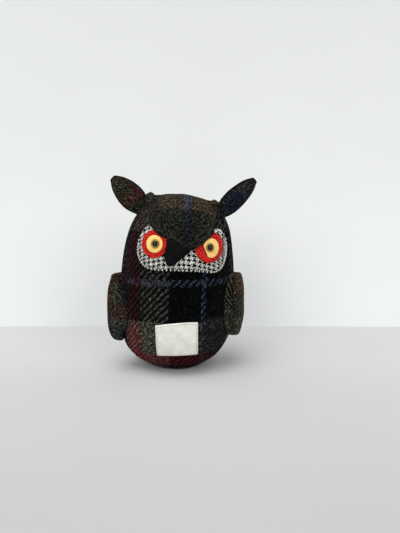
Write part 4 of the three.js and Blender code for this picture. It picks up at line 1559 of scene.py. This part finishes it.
for side, ear in EARS.items():
    turn, origin = ear_frame(ear)
    length = ear["length"] + EAR_BURIED + EAR_SEAM
    width_run = (*EAR_WIDTH_RUN, *ear["end"])
    piece, points, local = leaf(
        f"{side}_ear", (turn, origin), (length, EAR_WIDTH, EAR_LAYER + 0.2, EAR_LAYER + 0.2),
        (width_run, EAR_THICKNESS_RUN), 3.0, 24,
    )
    half_wide = leaf_share(share(local[:, 2] / length), *width_run) * EAR_WIDTH / 2
    rim = np.minimum(half_wide - np.abs(local[:, 0]), length - local[:, 2])
    stitch = bell(rim - EAR_RIM, 0.55) * (1 + 0.35 * np.sin(FULL_TURN * local[:, 2] / EAR_PUCKER))
    puff = 0.9 * smooth_step((rim - EAR_RIM) / 4.5) + 0.35 * bell(rim - 0.9, 0.7)
    shift = np.sign(local[:, 1]) * (puff - 0.75 * stitch + lumps(points, 8, 21) * 0.5)
    local[:, 1] += shift * share(np.abs(local[:, 1]) / 0.8)
    local[:, 0] -= np.clip(local[:, 0] / 3, -1, 1) * 0.5 * bell(local[:, 1], 0.55)
    write_points(piece, local @ turn.T + origin)
    ease(piece, share((local[:, 2] - length + 3.5) / 2.5))
    # Painted shade round the ear's rim
    write_seam_shade(piece, 0.8 * bell(np.clip(rim, 0, None), 2.0))
    weigh(piece, "wall", share(rim / 3))
    names = [f"{side}_ear_front", f"{side}_ear_back"]
    root = (origin + turn[:, 2] * EAR_BURIED) * MM
    bend_end = root + turn[:, 2] * EAR_ROOT * MM
    for part, name, out in zip(finish_leaf(piece, names), names, (turn[:, 1], -turn[:, 1])):
        pad(part, tweeds[f"{side}_ear_tweed"], "ear_tweed", 0.2, name)
        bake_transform(part)
        places = ear_rim_line(length, width_run) @ turn.T + origin + out * 12
        downward = [-out] * len(places)
        stitch_row(
            f"{name}_stitches", places, downward, surface_of(part), grey_thread, f"{side}_ear", EAR_STITCH,
        )


# Sewing on the front: the label's border, the brow flap's edge and the mask's whipped edge
def sew_front(name, line, cloth, finish, sizes):
    seat, outward = front_seat(line)
    stitch_row(name, seat + outward * 12, -outward, surface_of(cloth), finish, "body", sizes)


border = inset(label_outline, 1.5, 0.6)
sew_front("label_border_stitches", np.vstack([border, border[:1]]), label, white_thread, LABEL_STITCH)
brow_edge = inset(brow_outline[brow_outline[:, 1] < 88], 2.5, 0.7)
sew_front("brow_edge_stitches", brow_edge, brow, dark_thread, BROW_STITCH)

# Each whip goes over the mask's edge, from the tweed outside it up onto the mask
whips = []
whip_starts = inset(mask_outline, -WHIP_START, WHIP_SPACING)
for outer_end, edge in zip(whip_starts, inset(mask_outline, 0, WHIP_SPACING)):
    ends = np.array([outer_end, outer_end + (edge - outer_end) / WHIP_START * WHIP_LENGTH])
    if signed_distance(ends[1:], brow_outline)[0] > -1.2:
        continue
    (start, end), outward = front_seat(ends)
    away = outward[0]
    lift = lift_at(np.array([start, end]), np.array([away, away]))
    whips.append((start + away * (lift[0] + 0.3), end + away * (lift[1] + MASK_LAYER[1] + 0.1), away))
stitches("mask_edge_stitches", whips, WHIP_RADIUS, ecru_thread, "body")


# The beak: a domed black pad that hooks to its lower left
def over_beak(flat, distance):
    dome = (1 - (1 - share(distance / 8.5)) ** 2.2) ** 0.6
    return BEAK_SEAT + BEAK_RISE * dome + 0.35


beak_outline = seated_outline(face_place(rounded(BEAK_SHARES)), 4.0)
beak_cut = cut_cloth(beak_outline, 1.0, (0.25, 0.6, 1.1, 1.7))
beak = lay_cloth("beak_pad", beak_cut, front_place, over_beak, level(BEAK_SEAT), beak_cut[0])
pad(beak, black_felt, "black_felt", 0.8, "beak")
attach(beak, "body")


# Eyes: a clear dome over a painted ring and a black pupil
def eye_pose(eye):
    seat = seat_under(face_place(eye["eye"]), LENS_SEAT)
    point = on_body(seat[:, 0], seat[:, 1])
    outward = body_normal(point)
    return point[0] + outward[0] * lift_at(point, outward)[0], outward[0]


# Half a ball, squashed to its height, on a flat base
def dome(name, radius, height, sides, rows=12):
    turns = np.linspace(0, FULL_TURN, sides, endpoint=False)
    circle = np.stack([np.cos(turns), np.sin(turns), np.zeros(sides)], 1) * radius
    rises = [math.pi / 2 * row / rows for row in range(rows)]
    rings = [circle * math.cos(rise) + (0, 0, height * math.sin(rise)) for rise in rises]
    return skin(name, [np.zeros((1, 3)), *rings, np.array([[0, 0, height]])], lambda row, column: 0)


# The thin disc that the iris is painted on, its edges rounded
def iris_ring(name):
    bpy.ops.object.select_all(action="DESELECT")
    bpy.ops.mesh.primitive_cylinder_add(vertices=48, radius=(LENS_RADIUS - 0.08) * MM, depth=0.3 * MM)
    piece = bpy.context.object
    piece.name = piece.data.name = name
    with editing(piece):
        bpy.ops.mesh.bevel(offset=0.07 * MM, segments=2, affect="EDGES")
    write_cloth(piece, read_points(piece)[:, :2])
    return piece


ring_paint = painted_ring()
for side, eye in EYES.items():
    point, outward = eye_pose(eye)
    turn = Vector((0, 0, 1)).rotation_difference(Vector(outward)).to_matrix().to_4x4()
    ring = iris_ring(f"{side}_iris_ring")
    pupil = dome(f"{side}_pupil_bead", PUPIL_RADIUS, PUPIL_HEIGHT, 40)
    lens = dome(f"{side}_clear_dome", LENS_RADIUS, LENS_HEIGHT, 56)
    for piece, material, slot, rise in (
        (ring, ring_paint, "eye_iris", IRIS_RISE),
        (pupil, pupil_black, "eye_pupil", PUPIL_RISE),
        (lens, clear_plastic, "eye_iris", LENS_RISE),
    ):
        smooth(piece, 40)
        place = Matrix.Translation(Vector((point + outward * (LENS_SEAT + rise)) * MM))
        piece.data.transform(place @ turn)
        piece.data.materials.clear()
        piece.data.materials.append(material)
        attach(piece, "body")
    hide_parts(f"{side}_eye_pupil")
    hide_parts(f"{side}_eye_lens")


# Hidden parts keep their solids and get their own finish
def keep_node(name, material):
    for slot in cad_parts[name].material_slots:
        slot.material = material


keep_node("pellet_bag", calico)
keep_node("pellet_fill", granules())
for side in EYES:
    keep_node(f"{side}_eye_washer", washer_plastic)


# Floor and wall, with painted shade: a little darker away from the owl, where less light reaches
def painted_plane(name, corners, colour, axis, far, near, deepest_shade):
    piece = make_mesh(name, corners, [(0, 1, 2, 3)])
    finish = Finish(f"{name}_paint", roughness=0.9, specular_ior_level=0.1)
    where = finish.place()
    cloudy = finish.noise(where, 0.004, 3.0).span(0.3, 0.7, 0.985, 1.015)
    # Painted shade, growing along the axis from far to near
    finish.colour(finish.tone(colour, finish.part(where, axis).span(far, near, 1.0, deepest_shade) * cloudy))
    piece.data.materials.append(finish.material)
    return finish


painted_plane(
    "floor", [(-2500, -2500, 0), (2500, -2500, 0), (2500, 2500, 0), (-2500, 2500, 0)],
    shade(198, 199, 198), 1, 0, -260, 0.84,
)
wall_paint = painted_plane(
    "wall", [(-1600, 150, 0), (1600, 150, 0), (1600, 150, 1400), (-1600, 150, 1400)],
    shade(228, 230, 228), 2, 140, 400, 0.87,
)
# Seen from behind, the wall isn't there
back = wall_paint.result("NewGeometry", {}, "Backfacing")
clear = wall_paint.result("BsdfTransparent", {})
painted = Value(wall_paint, wall_paint.shader.outputs[0])
wall_paint.put(wall_paint.out, wall_paint.result("MixShader", {0: back, 1: painted, 2: clear}))


# Camera and light, in metres
def add_to_scene(name, data):
    thing = bpy.data.objects.new(name, data)
    bpy.context.scene.collection.objects.link(thing)
    return thing


camera = add_to_scene("camera", bpy.data.cameras.new("camera"))
camera.location = (0.0221, -0.400, 0.1264)
camera.rotation_euler = (math.radians(85), 0, 0)
camera.data.lens = 29.11
camera.data.sensor_width = 36
camera.data.clip_start = 0.01
bpy.context.scene.camera = camera


def area_light(name, place, aim, size, power):
    lamp = add_to_scene(name, bpy.data.lights.new(name, "AREA"))
    lamp.data.shape = "SQUARE"
    lamp.data.size = size
    lamp.data.energy = power
    lamp.location = place
    lamp.rotation_euler = (Vector(aim) - Vector(place)).to_track_quat("-Z", "Y").to_euler()


area_light("ceiling", (-0.5, -0.9, 3.0), (0, 0, 0.05), 2.2, 62)
area_light("window", (-1.8, -3.4, 1.7), (0, 0, 0.1), 2.4, 61)
area_light("room", (2.2, -3.0, 1.5), (0, 0, 0.1), 2.4, 49)

# The room: a cool even light, and a pale wall colour where the camera sees past the wall
world = bpy.data.worlds.new("room")
world.use_nodes = True
nodes, links = world.node_tree.nodes, world.node_tree.links
sky = nodes["Background"]
sky.inputs[0].default_value = (0.95, 0.97, 1, 1)
sky.inputs[1].default_value = 0.36
pale = nodes.new("ShaderNodeBackground")
pale.inputs[0].default_value = shade(236, 238, 236)
seen = nodes.new("ShaderNodeMixShader")
links.new(nodes.new("ShaderNodeLightPath").outputs["Is Camera Ray"], seen.inputs[0])
links.new(sky.outputs[0], seen.inputs[1])
links.new(pale.outputs[0], seen.inputs[2])
links.new(seen.outputs[0], nodes["World Output"].inputs[0])
bpy.context.scene.world = world
bpy.context.scene.view_settings.view_transform = "Standard"
